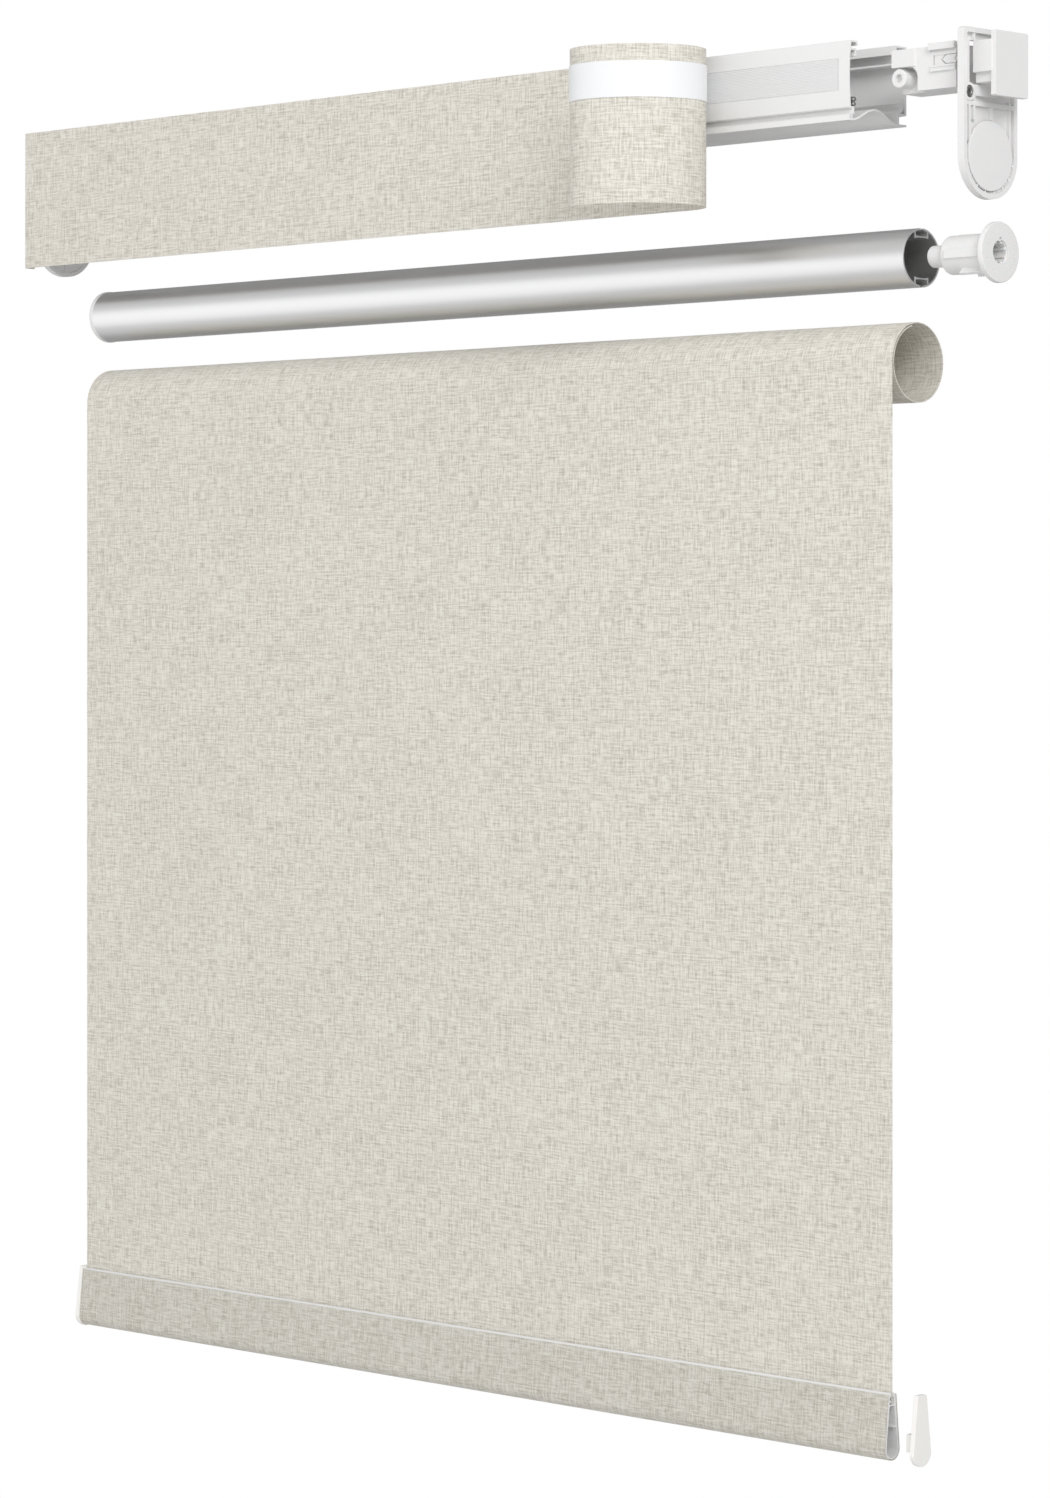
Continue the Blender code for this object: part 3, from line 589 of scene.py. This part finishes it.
def makeRail():
    low, high, wall = railLow.x, railHigh.x, rail["wall"]
    back, front, floor, top = rail["back"], rail["front"], rail["floor"], rail["top"]
    face = back - wall / 2
    paths = [
        [(face, 36.8), (face, top), (19.6, top), (19.6, 78.0)],
        [(face, 71.35), (19.2, 71.35)],
        [(face, 37.2), (22.4, 37.2), (22.4, floor)],
        arc(23.0, 42.0, 3.5, -100, 100, 14),
        [(-27.4, floor), (-27.4, 34.2)],
        [(front + wall / 2, floor), (front + wall / 2, 33.1)],
    ]
    ribs = [extrude([ribbon(path, wall)], low, high, centre=home) for path in paths]
    base = ribbon([(back, floor)] + archLine() + [(front, floor)], wall)
    made = build("headRail", extrude([base], low, high, centre=home), add=ribs, rounding=0.16)
    fit(made, painted, "back_rail")


fascia = {
    "thick": 1.7, "bow": 1.2, "low": 38.05, "high": 82.65, "stripLow": 49.6, "stripHigh": 71.4, "ribs": 20,
    "bed": 0.25, "inset": 0.5, "ends": 9.0,
}


def makeFascia():
    low, high = railLow.x, railHigh.x
    bottom, top = fascia["low"], fascia["high"]
    face = []
    for i in range(17):
        bow = fascia["bow"] * math.sin(math.pi * i / 16) - 0.5 * max(0, i - 12) / 4
        face.append((rail["front"] + 1.5 - bow, bottom + (top - bottom) * i / 16))
    paths = [
        [face[-1], (-22.4, top), (-21.4, top - 2.4)],
        [(face[-3][0], 77.4), (-23.4, 77.4), (-23.4, 73.4), (-25.4, 73.4)],
        [face[0], (-25.6, bottom), (-25.6, 33.4)],
    ]
    ribs = [extrude([ribbon(path, 1.3)], low, high, centre=home) for path in paths]
    base, ends, inset = rail["front"] + fascia["bed"], fascia["ends"], fascia["inset"]
    foot, head = fascia["stripLow"], fascia["stripHigh"]
    recess = extrude([block(base - 4, base, foot, head)], low + ends, high - ends, centre=home)
    skin = extrude([ribbon(face, fascia["thick"])], low, high, centre=home)
    made = build("fasciaProfile", skin, ribs, [recess], 0.18)
    fit(made, painted, "fascia")
    pitch = (head - foot - 2 * inset) / fascia["ribs"]
    spots = []
    for i in range(fascia["ribs"]):
        z = foot + inset + i * pitch
        spots += [(base - 0.28, z), (base - 0.42, z + 0.2 * pitch), (base - 0.42, z + 0.45 * pitch),
                  (base - 0.28, z + 0.65 * pitch)]
    spots += [(base - 0.28, head - inset), (base - 0.02, head - inset), (base - 0.02, foot + inset)]
    strip = extrude([spots], low + ends + inset, high - ends - inset, centre=home)
    fit(build("gripStrip", strip), gripFinish, "grip_strip")


makeRail()
makeFascia()
print("head rail made")


# end fittings

plate = {
    "radius": 28.7, "top": 83.9, "thick": 5.5, "rim": 3.4, "floor": 2.0, "disc": 23.5,
    "slot": (-18.4, 6.5, 46.2, 75.4), "screw": (-22.0, 41.2),
}


def spread(inner, side, near, far):
    a, b = inner + side * near, inner + side * far
    return min(a, b), max(a, b)


def plateOutline(inset=0.0, corner=3.0):
    r, top = plate["radius"] - inset, plate["top"] - inset
    return (arc(0, 0, r, 180, 360, 72) + arc(r - corner, top - corner, corner, 0, 90, 8)
            + arc(corner - r, top - corner, corner, 90, 180, 8))


def makeEndPlate(end, inner, side):
    thick, rim, low = plate["thick"], plate["rim"], plate["floor"]
    y0, y1, z0, z1 = plate["slot"]
    sy, sz = plate["screw"]

    def slab(outline, near, far):
        return extrude([outline], *spread(inner, side, near, far), centre=home)

    ribs = [
        (block(-17.5, -15.5, 23, 46), thick - 0.7), (block(-17.5, -15.5, 75, 81), thick - 0.7),
        (block(-25.5, 25.5, 32.3, 35.3), thick - 0.8), (block(1.4, 3.8, 20, 34), thick - 1.0),
        (block(-22.2, -20.4, 6, 36), thick - 0.8), (block(20.8, 22.8, 6, 37), thick - 0.8),
        (softBlock(-25.6, 7.4, 38.9, 46.6, 1.5), thick - 0.5), (block(6.6, 8.6, 40, 79), thick - 1.0),
        (circle(sy, sz, 6.0, 48), thick - 0.3), (arc(0, 0, plate["radius"] - rim + 0.2, 180, 360, 64), low + 1.3),
    ]
    add = [slab(outline, low - 0.5, height) for outline, height in ribs]
    for i in range(8):
        a = 180 + 12 + 22.3 * i
        spoke = turnedAbout(block(plate["disc"] + 0.2, plate["radius"] - rim + 0.4, -0.6, 0.6), a)
        add.append(slab(spoke, low - 0.5, thick - 0.8))
    cut = [
        slab(circle(0, 0, 9.0), -1, thick + 1), slab(circle(0, 0, plate["disc"] + 0.35, 96), low, thick + 1),
        slab(block(y0, y1, z0, z1), -1, thick + 1), slab(circle(sy, sz, 2.4, 32), -1, thick + 1),
        slab(circle(sy, sz, 4.2, 48), thick - 2.6, thick + 1),
    ]
    for i in range(8):
        a = 45.0 * i + 4
        cut.append(slab(arc(0, 0, 13, a, a + 37, 8) + arc(0, 0, plate["radius"] - 3, a + 37, a, 12), -1, 0.9))
    cut += [slab(softBlock(u0, u1, 36, 76, 1.0), -1, 0.9) for u0, u1 in ((-26, -20.4), (9, 26))]
    tray = slab(plateOutline(rim, 2.0), low, thick + 1)
    base = build(end + "PlateBase", slab(plateOutline(), 0, thick), cut=[tray])
    made = build(end + "EndPlate", base.data, add, cut, 0.32)
    bpy.data.objects.remove(base, do_unlink=True)
    fit(made, white, end + "_end_plate")


def facing(side):
    return alongX if side > 0 else Matrix.Rotation(math.pi, 4, "Z") @ alongX


def makeFittings(end, inner, side):
    sy, sz = plate["screw"]
    thick = plate["thick"]
    makeEndPlate(end, inner, side)

    face = thick - 0.4
    head = [(0, face - 0.35), (1.9, face - 0.35), (2.2, face), (2.9, face), (3.7, face - 0.5), (3.85, face - 1.0),
            (3.85, face - 1.9), (2.0, face - 1.9), (2.0, 0.4), (0, 0.4)]
    socket = extrude([circle(sy, sz, 1.5, 6)], *spread(inner, side, face - 1.7, face + 1), centre=home)
    screw = build(end + "PlateScrew", turned(head, (inner, homeY + sy, homeZ + sz), facing(side), 48), cut=[socket],
                  rounding=0.08)
    fit(screw, steel, end + "_plate_screw")

    outer, disc, hub = thick - 0.1, plate["disc"], 8.6
    rim = [(0, outer), (disc - 0.8, outer), (disc - 0.25, outer - 0.22), (disc, outer - 0.8), (disc, outer - 1.8),
           (hub, outer - 1.8), (hub, 0)]
    rim += [(0, 0)] if side > 0 else [(4.6, 0), (4.6, 5.0), (0, 5.0)]
    nose = extrude([lobed(5.7, 0.5, 8)], *spread(inner, side, -10, 0.5), centre=home)
    disc = turned(rim, (inner, homeY, homeZ), facing(side), 128)
    pivot = build(end + "Pivot", disc, add=[nose] if side > 0 else [], rounding=0.12, angle=50)
    fit(pivot, white, end + "_pivot")
    makeCoupling(end, inner, side)
    makeCover(end, inner, side)


coupling = {
    "y0": -17.6, "y1": 12.0, "z0": 45.8, "z1": 74.6, "near": -63.0, "step": -29.3, "boss": 6.2, "bossBore": 3.0,
    "bossAt": 6.2, "bossZ": 55.0, "cornerAt": 13.1, "cornerR": 7.3, "sill": 61.8, "head": 68.2, "windowEnd": -8.0,
    "tip": 7.2, "arm": 10.8,
}


def makeCoupling(end, inner, side):
    y0, y1, z0, z1, near, step = (coupling[key] for key in ("y0", "y1", "z0", "z1", "near", "step"))
    sill, head, windowEnd = coupling["sill"], coupling["head"], coupling["windowEnd"]
    bossR, bossBore, bossZ = coupling["boss"], coupling["bossBore"], coupling["bossZ"]
    cornerAt, cornerR = near + coupling["cornerAt"], coupling["cornerR"]
    tip, arm, middle = step + coupling["tip"], step + coupling["arm"], (sill + head) / 2

    def bar(near, far, *outline):
        return extrude([block(*outline)], *spread(inner, side, near, far), centre=home)

    def plan(spots, front, back):  # spots are (height, place along X)
        outline = [(homeZ + z, inner + side * x) for z, x in spots]
        return extrude([outline], homeY + y0 + front, homeY + y0 + back, alongY)

    corner = [(z0 - 1, near - 1), (bossZ + cornerR, near - 1)]
    corner += arc(bossZ, cornerAt, cornerR, 0, 90, 16) + [(z0 - 1, cornerAt + cornerR)]
    boss = [(0, 12), (bossR, 12), (bossR, -2.0), (bossR - 0.5, -2.4), (bossBore, -2.4), (bossBore, 0.8), (0, 0.8)]
    pocket = [(middle, tip - 0.8), (sill, arm - 0.8), (sill, windowEnd), (head, windowEnd), (head, arm - 0.8)]
    add = [
        bar(near, near + 19, y0 - 2.5, y0 + 1, 62.4, z1 - 0.5),
        bar(step - 2.6, -1.3, y0 - 2.8, y0 + 1, 71.7, z1 + 1.7),
        bar(step - 1.4, -1.3, y0 - 1.6, y0 + 1, 57.4, 61.4),
        turned(boss, (inner + side * (near + coupling["bossAt"]), homeY + y0, homeZ + bossZ), alongY, 64),
    ]
    cut = [
        bar(step, windowEnd, y0 - 4, y0 + 0.5, sill, head), bar(step, step + 0.8, y0 - 4, y0 + 2, sill, head),
        plan(pocket, -4, 2.2),
        bar(-9.8, 1, y0 - 5, y1 - 4, z0 - 1, z1 + 3), bar(step - 2.6, -1.3, y0 - 1, y0 + 0.7, 70.6, 71.7),
        bar(step - 1.4, -1.3, y0 - 2, y0 - 1.2, 59.7, 60.1),
    ]
    core = build(end + "Core", bar(near, -0.3, y0, y1, z0, z1), cut=[plan(corner, -4, 10)])
    made = build(end + "CouplingBlock", core.data, add, cut, 0.4)
    bpy.data.objects.remove(core, do_unlink=True)
    fit(made, white, end + "_coupling_block")
    low, high, heel = sill + 0.3, head - 0.3, windowEnd - 2.3
    outline = [(middle, tip), (low, arm), (low, heel), (high, heel), (high, arm)]
    grip = plan(arc(middle, heel + 0.2, 1.5, 0, 345, 23), -1, 1.6)
    slider = build(end + "LatchSlider", plan(outline, 0.3, 2.1), cut=[grip], rounding=0.25)
    fit(slider, white, end + "_latch_slider")


cover = {"half": 17.4, "low": 37.8, "high": 80.9, "flange": 4.0, "stem": 14.5}


def makeCover(end, inner, side):
    y0, y1, z0, z1 = plate["slot"]
    low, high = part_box(end + "_cover")
    face = abs((low.x if side < 0 else high.x) / mm - inner) - cover["flange"]
    back = face - cover["stem"]

    def slab(outline, near, far):
        return extrude([outline], *spread(inner, side, near, far), centre=home)

    half = cover["half"]
    flange = slab(softBlock(-half, half, cover["low"], cover["high"], 1.2), face, face + cover["flange"])
    stem = slab(softBlock(y0 + 0.3, y1 - 1, z0 + 7.6, z1 - 0.3, 0.6, 2), back, face + 1)
    foot = slab(softBlock(y0 + 3.4, y1 - 1, z0 + 1, z0 + 9, 0.6, 2), back, face + 1)
    well = slab(block(y0 + 5.4, y1 - 3, z0 + 3, z1 - 3), back - 1, face - 1)
    fit(build(end + "Cover", flange, [stem, foot], [well], 0.5), white, end + "_cover")


makeFittings("left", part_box("left_end_plate")[1].x / mm, -1)
makeFittings("right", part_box("right_end_plate")[0].x / mm, 1)
print("end fittings made")


# roller

tube = {
    "radius": 20.0, "wall": 1.3, "slit": 1.3, "key": 6.2, "leg": 7.4, "floor": 14.8, "sag": 0.3,
    "under": ((7.4, 13.0), (6.8, 12.8), (6.1, 13.2), (4.0, 13.5)),  # half of a keyway's inner face
    "keyReach": 13.4,
}


def makeTube():
    r, bore0, key = tube["radius"], tube["radius"] - tube["wall"], tube["key"]
    lift = math.degrees(math.asin(tube["slit"] / r))
    at = math.degrees(math.asin(tube["leg"] / bore0))
    wallZ = math.sqrt(bore0**2 - key**2)
    floor = []
    for i in range(11):
        place = 1 - i / 5
        floor.append((key * place, tube["floor"] - tube["sag"] * math.cos(math.pi / 2 * place) ** 2))
    channel = [(tube["slit"], bore0), (key, wallZ)] + floor + [(-key, wallZ), (-tube["slit"], bore0)]
    under = list(tube["under"]) + [(0, 13.6)] + [(-y, z) for y, z in reversed(tube["under"])]
    outside, inside = [], []
    for turn, sign in ((90, 1), (270, -1)):
        outside += arc(0, 0, r, turn - 180 + lift, turn - lift, 64) + [(sign * y, sign * z) for y, z in channel]
        inside += arc(0, 0, bore0, turn - 180 + at, turn - at, 56) + [(sign * y, sign * z) for y, z in under]
    centre = (homeY, tubeZ)
    made = build("rollerTube", extrude([outside, inside], tubeLow.x, tubeHigh.x, centre=centre), rounding=0.12)
    fit(made, (satin, bore), "roller_tube")
    # the tube's bore gets the darker bore finish; its outside and keyways are bright
    for face in made.data.polygons:
        spot = face.center / mm
        reach = Vector((0, spot.y - homeY, spot.z - tubeZ))
        upright = abs(face.normal.x) < 0.5
        inward = reach.length > 1 and face.normal.dot(reach) < -0.3 * reach.length and upright
        wall = inward and reach.length < bore0 + 0.3 and abs(reach.y) > key - 0.4
        face.material_index = int(wall or reach.length < tube["keyReach"] and upright)


plug = {
    "seat": 4.0, "flange": 20.35, "body": 13.1, "pin": 7.45, "bore": 7.4, "mouth": 8.0, "shoulder": 2.4, "neck": 8.9,
}


def makePlug():
    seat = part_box("end_plug")[1].x / mm - plug["seat"]
    flange, thick, body, pin, soft = plug["flange"], plug["seat"], plug["body"], plug["pin"], plug["shoulder"]
    mouth, bore, neck = plug["mouth"], plug["bore"], plug["neck"]
    profile = [
        (0, -16), (bore, -16), (bore, thick - 1.4), (mouth, thick - 1.4), (mouth, thick - 0.2), (mouth + 0.2, thick),
        (flange - 1.2, thick), (flange - 0.35, thick - 0.3), (flange, thick - 1.0), (flange, 0.5),
        (flange - 0.4, 0.1), (flange - 1.0, 0), (body + 0.8, 0), (body, -0.8),
    ]
    profile += [(u, soft - 38.1 - v) for u, v in arc(body - soft, 0, soft, 0, 84, 8)]
    profile += [(neck, -38.2), (neck, -41.0), (pin, -41.4), (pin, -51.8), (pin - 0.5, -52.6), (pin - 1.5, -53)]
    profile += [(0, -53)]
    centre = (homeY, tubeZ)

    def along(near, far, outline):
        return extrude([outline], seat + near, seat + far, centre=centre)

    ribs = [along(-22, 1, turnedAbout(block(10, 17.4, -1, 1), a)) for a in (-53, -127)]
    ribs += [along(-33, 1, turnedAbout(block(10, 14.4, -3, 3), a)) for a in (0, 180)]
    ribs += [along(-30, 1, turnedAbout(block(10, 13.4, -1.2, 1.2), 90))]
    ribs += [along(-15, thick - 1.8, turnedAbout(block(6.3, 8.6, -0.75, 0.75), 22.5 + 45 * i)) for i in range(8)]
    cuts = [along(thick - 1.6, thick + 1, block(-1.3, 1.3, mouth - 1, mouth + 1.8))]
    for i in range(10):
        a = math.radians(90 + 36 * i)
        cuts.append(along(thick - 0.5, thick + 1, circle(15.2 * math.cos(a), 15.2 * math.sin(a), 0.6, 12)))
    made = build("endPlug", turned(profile, (seat, homeY, tubeZ), steps=96), ribs, cuts, 0.2, 50)
    fit(made, white, "end_plug")


def makeIdlerEnd():
    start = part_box("idler_bush")[0].x / mm + 18
    f, t = plug["flange"], plug["seat"]
    ring = [
        (f, 0.6 - t - 14), (f, -14.5), (f - 0.5, -14), (13.4, -14), (12.9, -13.4), (12.9, 3.2), (12.1, 4), (8.2, 4),
        (8.2, -12), (4.9, -12), (4.9, -t - 14), (f - 0.9, -t - 14),
    ]
    bush = build("idlerBush", turned(ring, (start, homeY, tubeZ), closed=True), rounding=0.15, angle=50)
    fit(bush, white, "idler_bush")


makeTube()
makePlug()
makeIdlerEnd()
print("roller made")


# bottom bar

bar = {
    "half": 8.0, "tall": 46.3, "topHalf": 4.6, "skin": 0.55, "wall": 1.0, "rim": 1.9, "capHalf": 9.6, "capThick": 3.6,
}


def teardrop(wide, tall, topHalf, steps=32, corner=2.4):
    lean = math.degrees(math.asin((wide - topHalf) / (tall - wide)))
    foot = arc(0, wide, wide, 180 + lean, 360 - lean, steps)
    right = arc(topHalf - corner, tall - corner, corner, 0, 90, 8)
    left = arc(corner - topHalf, tall - corner, corner, 90, 180, 8)
    return foot + right + left


def makeBar():
    shell = bar["skin"] + 0.3
    bottom = barLow.z - shell
    centre = (sheetY, bottom)
    low, high, tall, wall = barLow.x, barHigh.x, bar["tall"], bar["wall"]

    def run(outline, near=low, far=high):
        return extrude([outline], near, far, centre=centre)

    outer = [(u, v + shell) for u, v in teardrop(bar["half"] - shell, tall - 2 * shell, bar["topHalf"] - shell)]
    hollow = teardrop(bar["half"] - shell - wall, tall - 11.5, 2.7, corner=1.6)
    hollow = [(u, v + shell + wall) for u, v in hollow]
    ends = (low - 1, high + 1)
    cuts = [
        run(hollow, *ends), run(block(-0.75, 0.75, tall - 6, tall + 2), *ends),
        run(softBlock(-2.5, 1.9, tall - 8.8, tall - 3.6, 0.9), *ends),
    ]
    adds = [run(block(1.6, 5.2, 22.0, 23.0)), run(block(-5.2, -3.6, 30.0, 31.0))]
    core = build("barCore", run(outer), cut=cuts)
    fit(build("barProfile", core.data, adds, rounding=0.14), painted, "bottom_bar")
    bpy.data.objects.remove(core, do_unlink=True)
    rod = run(circle(-1.55, tall - 6.6, 0.75, 24), low + 0.6, high - 0.4)
    fit(build("clothKeeper", rod), clearWhite, "cloth_keeper")
    half = bar["skin"] / 2
    loop = [(u, v + half) for u, v in teardrop(bar["half"] - half, tall - 2 * half, bar["topHalf"] - half)]
    # the sleeve goes round from the front's top edge to the back's, below the profile's open rim
    edge = bottom + tall - bar["rim"]
    kept = [(u + sheetY, v + bottom) for u, v in loop[-1:] + loop[:-9] if v < tall - 2.2]
    kept = [(kept[0][0] + 0.15, edge)] + kept + [(kept[-1][0] - 0.15, edge)]
    sleeve, around = clothSheet("barSleeve", finely(kept, 4.0), low, high, 90, bar["skin"], alongX)
    # the sleeve wears the darker linen copy, which is painted shade
    fit(sleeve, shadedSleeveLinen, "bar_sleeve")
    for end, side in (("left", -1), ("right", 1)):
        capLow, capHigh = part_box("bar_cap_" + end)
        plateAt = (capLow.x if side < 0 else capHigh.x) / mm - side * bar["capThick"]
        cap = [(u, v - 0.7) for u, v in teardrop(bar["capHalf"], tall + 1.4, 4.9, corner=1.6)]
        body = extrude([cap], *spread(plateAt, side, 0, bar["capThick"]), centre=centre)
        tongue = extrude([softBlock(-3.0, 3.0, 8.0, 20.0, 0.8)], *spread(plateAt, side, -8, 0.5), centre=centre)
        hollow = extrude([block(-1.8, 1.8, 9.4, 18.6)], *spread(plateAt, side, -9, -0.5), centre=centre)
        fit(build(end + "BarCap", body, [tongue], [hollow], 0.4), ivory, "bar_cap_" + end)


makeBar()
print("bottom bar made")

# what stays as it was drawn, in its own finish
for node, finish in (("rail_screw", steel), ("idler_pin", satin), ("spring_shaft", satin), ("spring_hub", white),
                     ("spring_anchor", white), ("torsion_spring", springSteel)):
    mesh = frame["nodes"][node].data
    mesh.materials.clear()
    mesh.materials.append(finish)


# floor, light and camera

studio = {
    "floorDrop": 0.42, "floorRadius": 1.15, "strength": 1.0,
    "heights": ((0.0, 0.62), (0.40, 0.95), (0.52, 1.0), (0.72, 0.74), (1.0, 0.68)),
    "depths": ((0.0, 1.0), (0.44, 0.92), (0.57, 0.55), (0.75, 0.38), (1.0, 0.48)),  # from the front to the wall
}


def makeWorld():
    world = bpy.data.worlds.new("studio")
    bpy.context.scene.world = world
    world.use_nodes = True
    tree = world.node_tree
    tree.nodes.clear()
    make, link = tree.nodes.new, tree.links.new
    place, split = make("ShaderNodeTexCoord"), make("ShaderNodeSeparateXYZ")
    link(place.outputs["Generated"], split.inputs[0])
    both = make("ShaderNodeMix")
    both.data_type, both.blend_type = "RGBA", "MULTIPLY"
    both.inputs[0].default_value = 1
    for axis, levels, socket in (("Z", studio["heights"], 6), ("Y", studio["depths"], 7)):
        spread01, ramp = make("ShaderNodeMapRange"), make("ShaderNodeValToRGB")
        spread01.inputs["From Min"].default_value = -1
        for position, level in levels[1:-1]:
            ramp.color_ramp.elements.new(position)
        for stop, (position, level) in zip(ramp.color_ramp.elements, levels):
            stop.position, stop.color = position, (level, level, level, 1)
        link(split.outputs[axis], spread01.inputs["Value"])
        link(spread01.outputs[0], ramp.inputs[0])
        link(ramp.outputs[0], both.inputs[socket])
    soft, clean = make("ShaderNodeBackground"), make("ShaderNodeBackground")
    seen, mix, out = make("ShaderNodeLightPath"), make("ShaderNodeMixShader"), make("ShaderNodeOutputWorld")
    link(both.outputs[2], soft.inputs["Color"])
    soft.inputs["Strength"].default_value = studio["strength"]
    clean.inputs["Color"].default_value = (1, 1, 1, 1)
    link(seen.outputs["Is Camera Ray"], mix.inputs[0])
    link(soft.outputs[0], mix.inputs[1])
    link(clean.outputs[0], mix.inputs[2])
    link(mix.outputs[0], out.inputs[0])


def makeFloor():
    shape = bmesh.new()
    bmesh.ops.create_circle(shape, cap_ends=True, segments=128, radius=studio["floorRadius"])
    mesh = bpy.data.meshes.new("floor")
    shape.to_mesh(mesh)
    shape.free()
    floor = bpy.data.objects.new("floor", mesh)
    bpy.context.scene.collection.objects.link(floor)
    floor.location = (0, 0, cadBox[0][2] - studio["floorDrop"])
    pale = Finish("floorPaint", (0.92, 0.92, 0.92), 0.9)
    mottle = pale.cloud(pale.where(), 3.0, 2.0)
    pale.set(Base_Color=pale.shades(mottle, (0.91, 0.91, 0.91), (0.93, 0.93, 0.93)))
    floor.data.materials.append(pale.material)


def addLight(name, place, aim, size, power):
    light = bpy.data.lights.new(name, "AREA")
    light.shape = "DISK"
    light.size, light.energy = size, power
    obj = bpy.data.objects.new(name, light)
    bpy.context.scene.collection.objects.link(obj)
    obj.location = place
    obj.rotation_euler = (Vector(aim) - Vector(place)).to_track_quat("-Z", "Y").to_euler()


lights = {
    "softbox": {"place": (-2.4, -2.5, -0.7), "aim": (0, 0, -0.3), "size": 3.2, "power": 9},
    "side": {"place": (2.6, -1.4, 1.2), "aim": (0.2, 0, -0.35), "size": 1.6, "power": 45},
}
view = {"place": (2.325, -2.351, -0.3666), "turn": 43.9, "lens": 105.7, "rise": -0.0848}

makeFloor()
makeWorld()
for name, settings in lights.items():
    addLight(name, **settings)
camera = bpy.data.cameras.new("camera")
camera.sensor_width, camera.sensor_height = 36, 36
camera.lens, camera.shift_y = view["lens"], view["rise"]
camera.clip_start, camera.clip_end = 0.05, 60
cameraObject = bpy.data.objects.new("camera", camera)
bpy.context.scene.collection.objects.link(cameraObject)
cameraObject.location = view["place"]
cameraObject.rotation_euler = (math.pi / 2, 0, math.radians(view["turn"]))
bpy.context.scene.camera = cameraObject
bpy.context.scene.view_settings.view_transform = "Standard"
bpy.context.scene.view_settings.look = "None"
print("studio lit")
